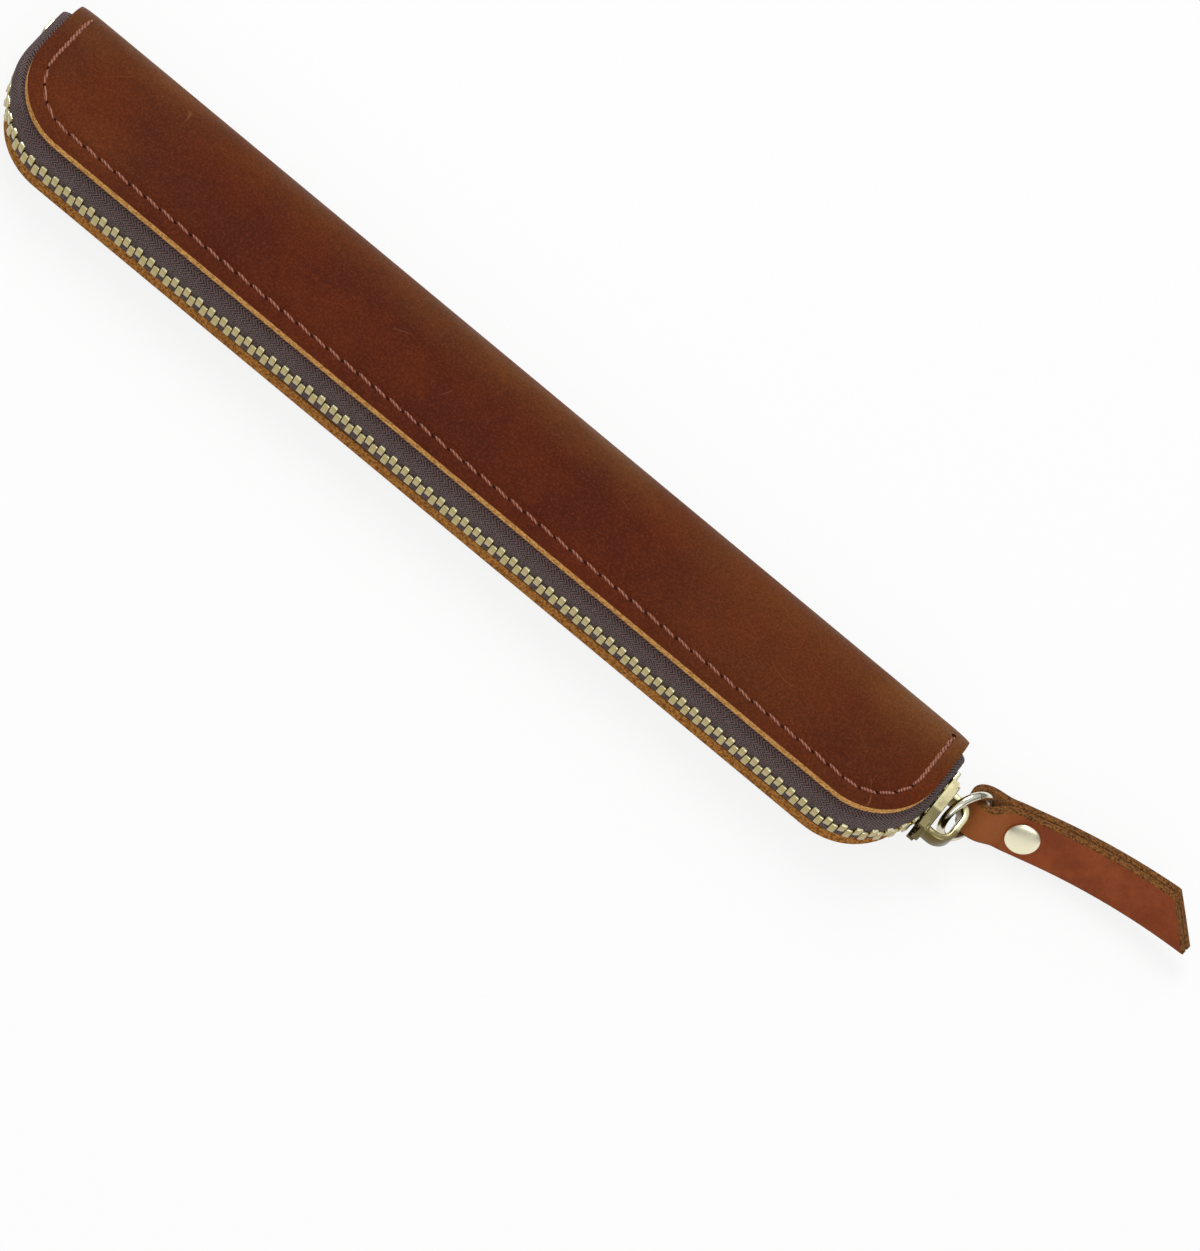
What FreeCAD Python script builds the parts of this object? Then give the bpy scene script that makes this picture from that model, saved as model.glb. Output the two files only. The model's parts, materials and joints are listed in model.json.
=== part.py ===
"""Single pen sleeve: a folded leather case with a metal zip round three sides.

Millimetres. +X runs to the end where the closed zip's slider sits, +Y to the folded spine,
+Z out of the front cover. The origin is the middle of the rear cover's outer face.
"""
import FreeCAD, Part
import math
import os

Vector = FreeCAD.Vector
Rotation = FreeCAD.Rotation
UP = Vector(0, 0, 1)
ALONG_X = Vector(1, 0, 0)
ALONG_Y = Vector(0, 1, 0)
RIGHT_ANGLE = 90.0

# Leather sleeve
sleeve_length = 178.0
sleeve_width = 24.5
sleeve_thickness = 15.2
leather_thickness = 1.6
corner_radius = 12.0

# Seam round the zip
seam_inset = 2.7
seam_end_height_share = 0.9
groove_width = 0.9
groove_depth = 0.4
stitch_length = 1.9
stitch_width = 0.6
stitch_height = 0.32
stitch_pitch = 2.6

# Zip tape
tape_thickness = 0.6
tape_reach = 8.0
tape_bend_radius = 1.6
bend_steps = 3
tape_end_length = 8.8
tape_edge_gap = 1.2

# Zip teeth
tooth_pitch = 2.4
tooth_width = 1.0
tooth_depth = 2.2
tooth_root = 2.1
tooth_overlap = 0.55
tooth_taper = 0.3
tooth_slot_floor = 0.6
tape_grip_clearance = 0.04
chain_offset = 1.0
chain_end_run = 4.0
last_tooth_back = 1.2
open_teeth = 3
open_spread = 0.56

# Zip stops
stop_length = 1.8
stop_height = 2.4
stop_depth = 2.2
stop_wall = 0.6
bottom_stop_length = 2.6
bottom_stop_height = 5.6
bottom_stop_depth = 2.6

# Slider body
slider_length = 9.6
slider_narrow_width = 6.2
slider_wide_width = 7.8
slider_plate = 1.0
slider_flange = 0.7
slider_channel_clearance = 0.15
slider_slot_clearance = 0.25
slider_corner = 1.2
slider_waist_share = -0.1
slider_shoulder_share = 0.55
slider_mouth_share = 0.92
post_start_share = 0.64
post_end_share = 0.94
post_width = 1.6

# Bail on the slider
bail_length = 8.4
bail_width = 3.4
bail_thickness = 1.1
bail_rise = 3.0
bail_round = 2.8
bail_foot_depth = 0.5
bail_fit_clearance = 0.04

# Jump ring
ring_outer_diameter = 10.5
ring_wire = 1.4
ring_bail_gap = 1.75
ring_lean = 43.0
ring_sides = 10

# Leather pull strap
strap_width = 8.0
strap_fold_width = 6.4
strap_length = 42.0
strap_leather = 1.6
strap_slit = 0.15
strap_yaw = 17.0
strap_tilt = 28.0
strap_seat = 0.45
strap_fold_radius = 1.75
strap_fold_depth = 2.35
strap_fold_taper = 4.2
strap_bend_radius = 75.0
strap_end_slant = 6.0
strap_straight_margin = 0.3

# Strap rivet
rivet_diameter = 5.7
rivet_rim = 0.35
rivet_crown = 0.85
rivet_post_diameter = 2.0
rivet_hole_clearance = 0.05
rivet_socket_depth = 0.5
dome_steps = 4
strap_rivet_place = 6.45

# Elastic pen loop
loop_width = 12.7
loop_bore = 10.0
elastic_thickness = 0.8
loop_spine_gap = 0.25
loop_centre_x = 0.0
loop_base_front = 3.0
loop_base_back = 4.8
loop_stitch_inset = 1.0

# Leather end tab
tab_length = 22.0
tab_width = 8.0
tab_thickness = 1.4
tab_end_gap = 0.6
tab_side_gap = 0.25
tab_rivet_place = 15.0
tab_rivet_diameter = 5.4
tab_head_diameter = 4.4
tab_head_thickness = 0.5
tab_stitch_inset = 2.4
tab_stitch_pitch = 1.45
tab_stitch_length = 1.1
tab_stitch_count = 5

cut_overrun = 1.0

# Places worked out from the sizes
half_length = sleeve_length / 2
half_width = sleeve_width / 2
mid_height = sleeve_thickness / 2
inner_bottom = leather_thickness
inner_top = sleeve_thickness - leather_thickness
corner_x = half_length - corner_radius
corner_y = corner_radius - half_width
spine_y = half_width - mid_height
spine_inner_radius = mid_height - leather_thickness
chain_radius = corner_radius + chain_offset

node_shapes = {}


def circle_point(centre, radius, degrees):
    """Point on a circle in the XY plane."""
    angle = math.radians(degrees)
    return centre + Vector(math.cos(angle), math.sin(angle), 0) * radius


def line(first, second):
    return Part.LineSegment(first, second).toShape()


def arc(first, middle, last):
    return Part.Arc(first, middle, last).toShape()


def polygon_face(points):
    return Part.Face(Part.makePolygon(points + [points[0]]))


def wire_face(edges):
    return Part.Face(Part.Wire(Part.__sortEdges__(edges)))


def joined(shapes):
    """Union of touching solids as one clean solid."""
    return shapes[0].fuse(shapes[1:]).removeSplitter()


def turned_over(shape):
    """The same shape on the other half of the sleeve, mirrored in the mid plane."""
    return shape.mirror(Vector(0, 0, mid_height), UP)


# The rim is the edge of the leather round the left end, the long open side and the right end.
# Travel starts where the left end run meets the left corner and grows towards the right end.
def rim_station(offset, travel):
    """Point and outward angle on the rim, moved outwards by the offset."""
    radius = corner_radius + offset
    quarter = radius * math.pi / 2
    straight = 2 * corner_x
    if travel < 0:
        return Vector(-half_length - offset, corner_y - travel, 0), 180.0
    if travel < quarter:
        angle = 180.0 + math.degrees(travel / radius)
        return circle_point(Vector(-corner_x, corner_y, 0), radius, angle), angle
    if travel < quarter + straight:
        return Vector(travel - quarter - corner_x, -half_width - offset, 0), 270.0
    if travel < quarter + straight + quarter:
        angle = 270.0 + math.degrees((travel - quarter - straight) / radius)
        return circle_point(Vector(corner_x, corner_y, 0), radius, angle), angle
    rest = travel - quarter - straight - quarter
    return Vector(half_length + offset, corner_y + rest, 0), 360.0


def rim_length(offset):
    """Travel from the start of the left corner to the end of the right corner."""
    return (corner_radius + offset) * math.pi + 2 * corner_x


def on_rim(shape, offset, travel, height):
    """Copy of a shape, drawn with +X outwards and +Y along the rim, set at a rim station."""
    point, angle = rim_station(offset, travel)
    copy = shape.copy()
    copy.Placement = FreeCAD.Placement(point + UP * height, Rotation(UP, angle))
    return copy


def rim_sweep(section, end_run):
    """Solid of a section carried round the rim; section(place) gives a face of (outward, height)."""
    def face_at(point, angle):
        outward = circle_point(Vector(0, 0, 0), 1, angle)
        return section(lambda out, height: point + outward * out + UP * height)

    left = face_at(Vector(-half_length, corner_y, 0), 180.0)
    bottom = face_at(Vector(-corner_x, -half_width, 0), 270.0)
    right = face_at(Vector(corner_x, -half_width, 0), 270.0)
    right_end = face_at(Vector(half_length, corner_y, 0), 0.0)
    return joined([
        left.extrude(ALONG_Y * end_run),
        left.revolve(Vector(-corner_x, corner_y, 0), UP, RIGHT_ANGLE),
        bottom.extrude(ALONG_X * (2 * corner_x)),
        right.revolve(Vector(corner_x, corner_y, 0), UP, RIGHT_ANGLE),
        right_end.extrude(ALONG_Y * end_run),
    ])


def stitch(length):
    """One lock stitch lying on the surface, its length along Y."""
    corner = Vector(-stitch_width / 2, -length / 2, 0)
    return Part.makeBox(stitch_width, length, stitch_height, corner)


def rivet_dome(diameter):
    """Domed rivet cap with a short upright rim, its flat face on the XY plane."""
    radius = diameter / 2
    sphere_radius = (radius ** 2 + rivet_crown ** 2) / (2 * rivet_crown)
    sphere_floor = rivet_rim + rivet_crown - sphere_radius
    full_angle = math.asin(radius / sphere_radius)
    profile = [Vector(0, 0, 0), Vector(radius, 0, 0)]
    for step in range(dome_steps, -1, -1):
        angle = full_angle * step / dome_steps
        height = sphere_floor + sphere_radius * math.cos(angle)
        profile.append(Vector(sphere_radius * math.sin(angle), 0, height))
    return polygon_face(profile).revolve(Vector(0, 0, 0), UP, 4 * RIGHT_ANGLE)


def seam_section(place):
    """Stitching groove cut into the front cover's outer face."""
    inner = -seam_inset - groove_width / 2
    outer = -seam_inset + groove_width / 2
    floor = sleeve_thickness - groove_depth
    roof = sleeve_thickness + cut_overrun
    return polygon_face([place(inner, floor), place(outer, floor), place(outer, roof), place(inner, roof)])


def sleeve_plan():
    """Plan of the folded sleeve: square at the spine, rounded at the zip corners."""
    left_centre = Vector(-corner_x, corner_y, 0)
    right_centre = Vector(corner_x, corner_y, 0)
    spine_left = Vector(-half_length, half_width, 0)
    spine_right = Vector(half_length, half_width, 0)
    left_start = circle_point(left_centre, corner_radius, 180.0)
    left_end = circle_point(left_centre, corner_radius, 270.0)
    right_start = circle_point(right_centre, corner_radius, 270.0)
    right_end = circle_point(right_centre, corner_radius, 360.0)
    return wire_face([
        line(spine_left, left_start),
        arc(left_start, circle_point(left_centre, corner_radius, 225.0), left_end),
        line(left_end, right_start),
        arc(right_start, circle_point(right_centre, corner_radius, 315.0), right_end),
        line(right_end, spine_right),
        line(spine_right, spine_left),
    ])


# Front and rear covers: one leather blank, divided along the middle of its folded spine
def spine_point(radius, degrees):
    angle = math.radians(degrees)
    return Vector(-half_length, spine_y + radius * math.cos(angle), mid_height + radius * math.sin(angle))


edge_top = Vector(-half_length, -half_width, sleeve_thickness)
edge_bottom = Vector(-half_length, -half_width, inner_top)
cover_profile = wire_face([
    line(edge_top, spine_point(mid_height, 90.0)),
    arc(spine_point(mid_height, 90.0), spine_point(mid_height, 45.0), spine_point(mid_height, 0)),
    line(spine_point(mid_height, 0), spine_point(spine_inner_radius, 0)),
    arc(spine_point(spine_inner_radius, 0), spine_point(spine_inner_radius, 45.0),
        spine_point(spine_inner_radius, 90.0)),
    line(spine_point(spine_inner_radius, 90.0), edge_bottom),
    line(edge_bottom, edge_top),
])
seam_end_run = (spine_y - corner_y) * seam_end_height_share
groove = rim_sweep(seam_section, seam_end_run)
plan_block = sleeve_plan().extrude(UP * sleeve_thickness)
front_cover = cover_profile.extrude(ALONG_X * sleeve_length).common(plan_block).cut(groove)
node_shapes["front_cover"] = front_cover

# The tab's rivet passes through the rear cover, with its flat head let in flush
tab_start_x = -half_length + tab_end_gap
tab_left_y = spine_y - tab_width - tab_side_gap
tab_middle_y = tab_left_y + tab_width / 2
rivet_spot = Vector(tab_start_x + tab_rivet_place, tab_middle_y, 0)
rivet_hole_radius = rivet_post_diameter / 2 + rivet_hole_clearance
head_hole_radius = tab_head_diameter / 2 + rivet_hole_clearance
rivet_hole = Part.makeCylinder(rivet_hole_radius, sleeve_thickness, rivet_spot)
head_hole = Part.makeCylinder(head_hole_radius, tab_head_thickness, rivet_spot)
node_shapes["rear_cover"] = turned_over(front_cover).cut([rivet_hole, head_hole])

# Seam thread: stitches in the grooves of both covers
seam_travel = rim_length(-seam_inset) + 2 * seam_end_run
seam_count = int(seam_travel / stitch_pitch)
seam_start = -seam_end_run + (seam_travel - (seam_count - 1) * stitch_pitch) / 2
seam_floor = sleeve_thickness - groove_depth
front_seam = Part.makeCompound([
    on_rim(stitch(stitch_length), -seam_inset, seam_start + index * stitch_pitch, seam_floor)
    for index in range(seam_count)
])
node_shapes["front_seam"] = front_seam
node_shapes["rear_seam"] = turned_over(front_seam)


# Zip tapes: a flat leg sewn under the leather, a soft bend, and an upright wall to the chain
def tape_section(place):
    half = tape_thickness / 2
    bend_out = chain_offset - tape_bend_radius
    bend_height = inner_top - half - tape_bend_radius
    low = mid_height + tape_edge_gap

    def bend(radius):
        points = []
        for step in range(bend_steps + 1):
            angle = math.pi / 2 * (1 - step / bend_steps)
            points.append(place(bend_out + radius * math.cos(angle), bend_height + radius * math.sin(angle)))
        return points

    outer_side = [place(-tape_reach, inner_top)] + bend(tape_bend_radius + half)
    edge = [place(chain_offset + half, low), place(chain_offset - half, low)]
    inner_side = bend(tape_bend_radius - half)[::-1] + [place(-tape_reach, inner_top - tape_thickness)]
    return polygon_face(outer_side + edge + inner_side)


def sleeve_inside():
    """Space inside the fold, open past the zip side and both ends."""
    reach = chain_offset + bottom_stop_depth
    start_x = -half_length - reach
    far_y = -half_width - reach
    lower = Vector(start_x, spine_y, inner_bottom)
    upper = Vector(start_x, spine_y, inner_top)
    tip = Vector(start_x, spine_y + spine_inner_radius, mid_height)
    edges = [
        line(Vector(start_x, far_y, inner_bottom), lower),
        arc(lower, tip, upper),
        line(upper, Vector(start_x, far_y, inner_top)),
        line(Vector(start_x, far_y, inner_top), Vector(start_x, far_y, inner_bottom)),
    ]
    return wire_face(edges).extrude(ALONG_X * (sleeve_length + 2 * reach))


front_tape = rim_sweep(tape_section, tape_end_length).common(sleeve_inside())
node_shapes["front_tape"] = front_tape
tab_notch = Part.makeBox(
    tab_length + tab_end_gap, tab_width + 2 * tab_side_gap, tab_thickness + leather_thickness,
    Vector(-half_length, tab_left_y - tab_side_gap, 0))
node_shapes["rear_tape"] = turned_over(front_tape).cut(tab_notch)


# Zip teeth: forked clips on the tape edge, the two rows set half a pitch apart
def front_tooth():
    half = tooth_depth / 2
    slot = tape_thickness / 2 + tape_grip_clearance
    tip = -tooth_overlap
    points = [
        (-half, tooth_root), (-half + tooth_taper, tip), (half - tooth_taper, tip), (half, tooth_root),
        (slot, tooth_root), (slot, tooth_slot_floor), (-slot, tooth_slot_floor), (-slot, tooth_root),
    ]
    face = polygon_face([Vector(out, -tooth_width / 2, height) for out, height in points])
    return face.extrude(ALONG_Y * tooth_width)


chain_end = rim_length(chain_offset)
last_tooth = chain_end - last_tooth_back
half_pitch = tooth_pitch / 2
half_steps = int((last_tooth + chain_end_run) / half_pitch)
front_tooth_shape = front_tooth()
front_row = []
rear_row = []
for step in range(half_steps + 1):
    travel = last_tooth - step * half_pitch
    clip = on_rim(front_tooth_shape, chain_offset, travel, mid_height)
    if step % 2 == 0:
        front_row.append(clip)
    else:
        rear_row.append(turned_over(clip))
# Inside the slider's mouth the rows part in front of the post
for step in range(1, open_teeth + 1):
    travel = last_tooth + step * half_pitch
    spread = open_spread * (step / open_teeth) ** 2
    clip = on_rim(front_tooth_shape, chain_offset, travel, mid_height + spread)
    if step % 2 == 0:
        front_row.append(clip)
    else:
        rear_row.append(turned_over(clip))
node_shapes["front_teeth"] = Part.makeCompound(front_row)
node_shapes["rear_teeth"] = Part.makeCompound(rear_row)


# Zip stops: a clip on each tape edge after the last tooth, and a block over both tapes at the far end
def tape_clip(depth, length, height, floor, slot_floor):
    """Block with a slot that takes the tape edge, drawn for the front tape."""
    slot_width = tape_thickness + 2 * tape_grip_clearance
    block = Part.makeBox(depth, length, height, Vector(-depth / 2, -length / 2, floor))
    slot = Part.makeBox(slot_width, length, height, Vector(-slot_width / 2, -length / 2, slot_floor))
    return block.cut(slot)


tape_seat = tape_edge_gap - tape_grip_clearance
stop_travel = last_tooth + (open_teeth + 2) * half_pitch + stop_length / 2
top_stop = tape_clip(stop_depth, stop_length, stop_height, tape_seat - stop_wall, tape_seat)
front_top_stop = on_rim(top_stop, chain_offset, stop_travel, mid_height)
node_shapes["front_top_stop"] = front_top_stop
node_shapes["rear_top_stop"] = turned_over(front_top_stop)

first_tooth = last_tooth - half_steps * half_pitch
bottom_travel = first_tooth - half_pitch - bottom_stop_length / 2
bottom_half = tape_clip(bottom_stop_depth, bottom_stop_length, bottom_stop_height / 2, 0, tape_seat)
bottom_half = on_rim(bottom_half, chain_offset, bottom_travel, mid_height)
node_shapes["bottom_stop"] = joined([bottom_half, turned_over(bottom_half)])

# Slider body, drawn at the origin with +X outwards from the chain and +Y along it
slider_reach = slider_length / 2
narrow = slider_narrow_width / 2
wide = slider_wide_width / 2
channel = tooth_depth / 2 + slider_channel_clearance
slot_edge = tape_thickness / 2 + slider_slot_clearance
plate_top = channel + slider_plate
slider_sides = [
    (-slider_reach, narrow), (slider_reach * slider_waist_share, narrow),
    (slider_reach * slider_shoulder_share, wide), (slider_reach, wide * slider_mouth_share),
]


def slider_plan(out):
    """Outline of a slider plate at the given distance out from the chain."""
    upper = [Vector(out, along, side) for along, side in slider_sides]
    lower = [Vector(out, along, -side) for along, side in reversed(slider_sides)]
    return polygon_face(upper + lower)


def slider_rails(out):
    """Outlines of the two rails along the plate's sides."""
    rails = []
    for way in (1, -1):
        outer = [Vector(out, along, way * side) for along, side in slider_sides]
        inner = [Vector(out, along, way * (side - slider_flange)) for along, side in slider_sides]
        rails.append(polygon_face(outer + inner[::-1]))
    return rails


def corner_shell(inner_radius, outer_radius):
    """Ring about the corner's centre, which the inner plate follows round the bend."""
    base = Vector(-chain_radius, 0, -wide)
    outer = Part.makeCylinder(outer_radius, 2 * wide, base)
    return outer.cut(Part.makeCylinder(inner_radius, 2 * wide, base))


deep = chain_radius / 2
outer_plate = slider_plan(channel).extrude(ALONG_X * slider_plate)
end_corners = []
for edge in outer_plate.Edges:
    across = edge.Vertexes[0].Point - edge.Vertexes[1].Point
    at_end = math.isclose(abs(edge.CenterOfMass.y), slider_reach)
    if at_end and math.isclose(abs(across.x), slider_plate):
        end_corners.append(edge)
outer_plate = outer_plate.makeFillet(slider_corner, end_corners)
inner_face_radius = chain_radius - channel
inner_shell = corner_shell(inner_face_radius - slider_plate, inner_face_radius)
inner_plate = slider_plan(-deep).extrude(ALONG_X * deep).common(inner_shell)
rail_shell = corner_shell(inner_face_radius - slider_plate / 2, chain_radius - slot_edge)
slider_pieces = [outer_plate, inner_plate]
for rail in slider_rails(slot_edge):
    slider_pieces.append(rail.extrude(ALONG_X * (plate_top - slider_plate / 2 - slot_edge)))
for rail in slider_rails(-deep):
    slider_pieces.append(rail.extrude(ALONG_X * deep).common(rail_shell))
post_start = slider_reach * post_start_share
post_end = slider_reach * post_end_share
post_middle = (post_start + post_end) / 2
post_foot = -channel - slider_plate
post = polygon_face([
    Vector(post_foot, post_start, 0), Vector(post_foot, post_middle, post_width / 2),
    Vector(post_foot, post_end, 0), Vector(post_foot, post_middle, -post_width / 2),
]).extrude(ALONG_X * (channel - post_foot + slider_plate / 2))
slider_pieces.append(post)
slider_body = joined(slider_pieces)

# Bail: a broad strip bent to a D, its feet let into the slider's outer plate
bail_half = bail_length / 2
bail_top = plate_top + bail_rise + bail_thickness
bail_foot = plate_top - bail_foot_depth


def bail_arch(half, top, rounding, foot):
    """Edges of one side of the D from foot to foot."""
    turn = rounding * (1 - math.sqrt(2) / 2)
    low_left = Vector(foot, -half, 0)
    left = Vector(top - rounding, -half, 0)
    top_left = Vector(top, -half + rounding, 0)
    top_right = Vector(top, half - rounding, 0)
    right = Vector(top - rounding, half, 0)
    low_right = Vector(foot, half, 0)
    return [
        line(low_left, left),
        arc(left, Vector(top - turn, -half + turn, 0), top_left),
        line(top_left, top_right),
        arc(top_right, Vector(top - turn, half - turn, 0), right),
        line(right, low_right),
        line(low_right, low_left),
    ]


bail_outer = wire_face(bail_arch(bail_half, bail_top, bail_round, bail_foot))
bail_inner = wire_face(bail_arch(bail_half - bail_thickness, bail_top - bail_thickness,
                                 bail_round - bail_thickness, bail_foot))
slider_bail = bail_outer.cut(bail_inner).extrude(UP * bail_width)
slider_bail.translate(UP * (-bail_width / 2))
foot_pockets = []
for way in (1, -1):
    pocket_y = way * (bail_half - bail_thickness / 2)
    foot_pockets.append(Part.makeBox(
        bail_foot_depth + bail_fit_clearance,
        bail_thickness + 2 * bail_fit_clearance,
        bail_width + 2 * bail_fit_clearance,
        Vector(bail_foot - bail_fit_clearance,
               pocket_y - bail_thickness / 2 - bail_fit_clearance,
               -bail_width / 2 - bail_fit_clearance)))
slider_body = slider_body.cut(foot_pockets)
slider_place = Vector(corner_x + chain_radius, corner_y, mid_height)
slider_body.translate(slider_place)
slider_bail.translate(slider_place)
node_shapes["slider_body"] = slider_body
node_shapes["slider_bail"] = slider_bail

# Jump ring: through the bail, leaning towards the spine from the strap's own line
pull_turn = Rotation(UP, strap_yaw).multiply(Rotation(ALONG_X, -strap_tilt))
ring_turn = Rotation(pull_turn.multVec(UP), ring_lean).multiply(pull_turn)
ring_radius = (ring_outer_diameter - ring_wire) / 2
ring_near = slider_place + ALONG_X * (plate_top + bail_rise - ring_bail_gap)
ring_centre = ring_near + ring_turn.multVec(ALONG_X) * ring_radius
ring_far = ring_near + ring_turn.multVec(ALONG_X) * (2 * ring_radius)
wire_points = []
for side in range(ring_sides):
    degrees = 4 * RIGHT_ANGLE * side / ring_sides
    wire_points.append(circle_point(ALONG_X * ring_radius, ring_wire / 2, degrees))
pull_ring = polygon_face(wire_points).revolve(Vector(0, 0, 0), ALONG_Y, 4 * RIGHT_ANGLE)
ring_place = FreeCAD.Placement(ring_centre, ring_turn)
node_shapes["pull_ring"] = pull_ring.transformed(ring_place.toMatrix())

# Pull strap: a leather strip folded round the ring, both layers cut off together on a slant.
# It is drawn with its length along +X, its width along Z and its seat for the ring's wire near the origin.
fold_centre = strap_fold_radius - strap_fold_depth
fold_outer = strap_fold_radius + strap_leather
gap_half = strap_slit / 2
layer_half = gap_half + strap_leather
taper_end = fold_centre + strap_fold_taper
bend_start = strap_rivet_place + rivet_diameter / 2 + strap_straight_margin
strap_tip = fold_centre - fold_outer + strap_length
bend_angle = (strap_tip - bend_start) / strap_bend_radius


def fold_tangent(radius, across):
    """Point where a line from the end of the taper touches the fold's circle."""
    reach = math.hypot(strap_fold_taper, across)
    angle = math.atan2(across, strap_fold_taper) + math.acos(radius / reach)
    return Vector(fold_centre + radius * math.cos(angle), radius * math.sin(angle), 0)


def bend_point(across, angle):
    """Point of a layer's face along the strap's gentle bend."""
    radius = strap_bend_radius + across
    return Vector(bend_start + radius * math.sin(angle), radius * math.cos(angle) - strap_bend_radius, 0)


def strap_face_edges(radius, across):
    """Edges of one face of the strip from tip to tip round the fold."""
    edges = []
    for way in (1, -1):
        touch = fold_tangent(radius, across)
        touch.y = way * touch.y
        corner = Vector(taper_end, way * across, 0)
        start = Vector(bend_start, way * across, 0)
        middle = bend_point(way * across, bend_angle / 2)
        end = bend_point(way * across, bend_angle)
        edges += [line(touch, corner), line(corner, start), arc(start, middle, end)]
    upper = fold_tangent(radius, across)
    edges.append(arc(upper, Vector(fold_centre - radius, 0, 0), Vector(upper.x, -upper.y, 0)))
    return edges


strap_edges = strap_face_edges(fold_outer, layer_half) + strap_face_edges(strap_fold_radius, gap_half)
for way in (1, -1):
    strap_edges.append(line(bend_point(way * layer_half, bend_angle), bend_point(way * gap_half, bend_angle)))
strap_slab = wire_face(strap_edges).extrude(UP * strap_width)
strap_slab.translate(UP * (-strap_width / 2))
fold_front = fold_centre - fold_outer
strap_outline = polygon_face([
    Vector(fold_front, -strap_bend_radius, -strap_fold_width / 2),
    Vector(fold_centre, -strap_bend_radius, -strap_fold_width / 2),
    Vector(taper_end, -strap_bend_radius, -strap_width / 2),
    Vector(strap_tip, -strap_bend_radius, -strap_width / 2),
    Vector(strap_tip - strap_end_slant, -strap_bend_radius, strap_width / 2),
    Vector(taper_end, -strap_bend_radius, strap_width / 2),
    Vector(fold_centre, -strap_bend_radius, strap_fold_width / 2),
    Vector(fold_front, -strap_bend_radius, strap_fold_width / 2),
]).extrude(ALONG_Y * (2 * strap_bend_radius))
strap_rivet_turn = Rotation(ALONG_X, RIGHT_ANGLE)
strap_hole = Part.makeCylinder(
    rivet_hole_radius, 4 * layer_half, Vector(strap_rivet_place, 2 * layer_half, 0), -ALONG_Y)
pull_strap = strap_slab.common(strap_outline).cut(strap_hole)

# Strap rivet: the front cap is pressed over a post that carries the back cap
socket = Part.makeCylinder(rivet_hole_radius, rivet_socket_depth + rivet_hole_clearance)
strap_cap = rivet_dome(rivet_diameter).cut(socket)
strap_cap.Placement = FreeCAD.Placement(Vector(strap_rivet_place, -layer_half, 0), strap_rivet_turn)
back_cap = rivet_dome(rivet_diameter)
back_cap.Placement = FreeCAD.Placement(Vector(strap_rivet_place, layer_half, 0), strap_rivet_turn.inverted())
strap_post = Part.makeCylinder(
    rivet_post_diameter / 2, 2 * layer_half + rivet_socket_depth + rivet_rim / 2,
    Vector(strap_rivet_place, layer_half + rivet_rim / 2, 0), -ALONG_Y)
pull_place = FreeCAD.Placement(ring_far - pull_turn.multVec(ALONG_Y) * strap_seat, pull_turn)
strap_nodes = {
    "pull_strap": pull_strap,
    "strap_rivet_cap": strap_cap,
    "strap_rivet_post": joined([back_cap, strap_post]),
}
for name, shape in strap_nodes.items():
    node_shapes[name] = shape.transformed(pull_place.toMatrix())

# Elastic pen loop: a closed band whose flat base is sewn to the rear cover
loop_start = loop_centre_x - loop_width / 2
loop_centre_y = spine_y - loop_spine_gap - loop_base_back
loop_inner = loop_bore / 2
loop_outer = loop_inner + elastic_thickness
loop_middle = Vector(loop_start, loop_centre_y, inner_bottom + loop_outer)
loop_ring = Part.makeCylinder(loop_outer, loop_width, loop_middle, ALONG_X)
loop_base = Part.makeBox(
    loop_width, loop_base_front + loop_base_back, elastic_thickness,
    Vector(loop_start, loop_centre_y - loop_base_front, inner_bottom))
loop_hole = Part.makeCylinder(loop_inner, loop_width, loop_middle, ALONG_X)
node_shapes["pen_loop"] = joined([loop_ring, loop_base]).cut(loop_hole)

# Loop thread: a row of stitches along the base beside the band
loop_row_y = loop_centre_y + loop_base_back - loop_stitch_inset
loop_row_length = loop_width - 2 * loop_stitch_inset
loop_count = int(loop_row_length / stitch_pitch) + 1
lying_stitch = stitch(stitch_length)
lying_stitch.rotate(Vector(0, 0, 0), UP, RIGHT_ANGLE)
loop_stitches = []
for index in range(loop_count):
    copy = lying_stitch.copy()
    place_x = loop_centre_x + (index - (loop_count - 1) / 2) * stitch_pitch
    copy.translate(Vector(place_x, loop_row_y, inner_bottom + elastic_thickness))
    loop_stitches.append(copy)
node_shapes["loop_stitches"] = Part.makeCompound(loop_stitches)

# End tab: a round-ended strip over the zip's tape ends, sewn and riveted to the rear cover
tab_round = tab_width / 2
tab_end_x = tab_start_x + tab_length
tab_right_y = tab_left_y + tab_width
tab_floor = UP * inner_bottom
tab_low = Vector(tab_end_x - tab_round, tab_left_y, 0)
tab_high = Vector(tab_end_x - tab_round, tab_right_y, 0)
end_tab = wire_face([
    line(Vector(tab_start_x, tab_right_y, 0), Vector(tab_start_x, tab_left_y, 0)),
    line(Vector(tab_start_x, tab_left_y, 0), tab_low),
    arc(tab_low, Vector(tab_end_x, tab_middle_y, 0), tab_high),
    line(tab_high, Vector(tab_start_x, tab_right_y, 0)),
]).extrude(UP * tab_thickness)
end_tab.translate(tab_floor)
node_shapes["end_tab"] = end_tab.cut(rivet_hole)

# Tab rivet: a domed cap on the tab, and a post whose head is flush with the rear cover
tab_top = inner_bottom + tab_thickness
tab_cap = rivet_dome(tab_rivet_diameter).cut(socket)
tab_cap.translate(rivet_spot + UP * tab_top)
node_shapes["tab_rivet_cap"] = tab_cap
node_shapes["tab_rivet_post"] = joined([
    Part.makeCylinder(tab_head_diameter / 2, tab_head_thickness, rivet_spot),
    Part.makeCylinder(rivet_post_diameter / 2, tab_top + rivet_socket_depth, rivet_spot),
])

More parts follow.
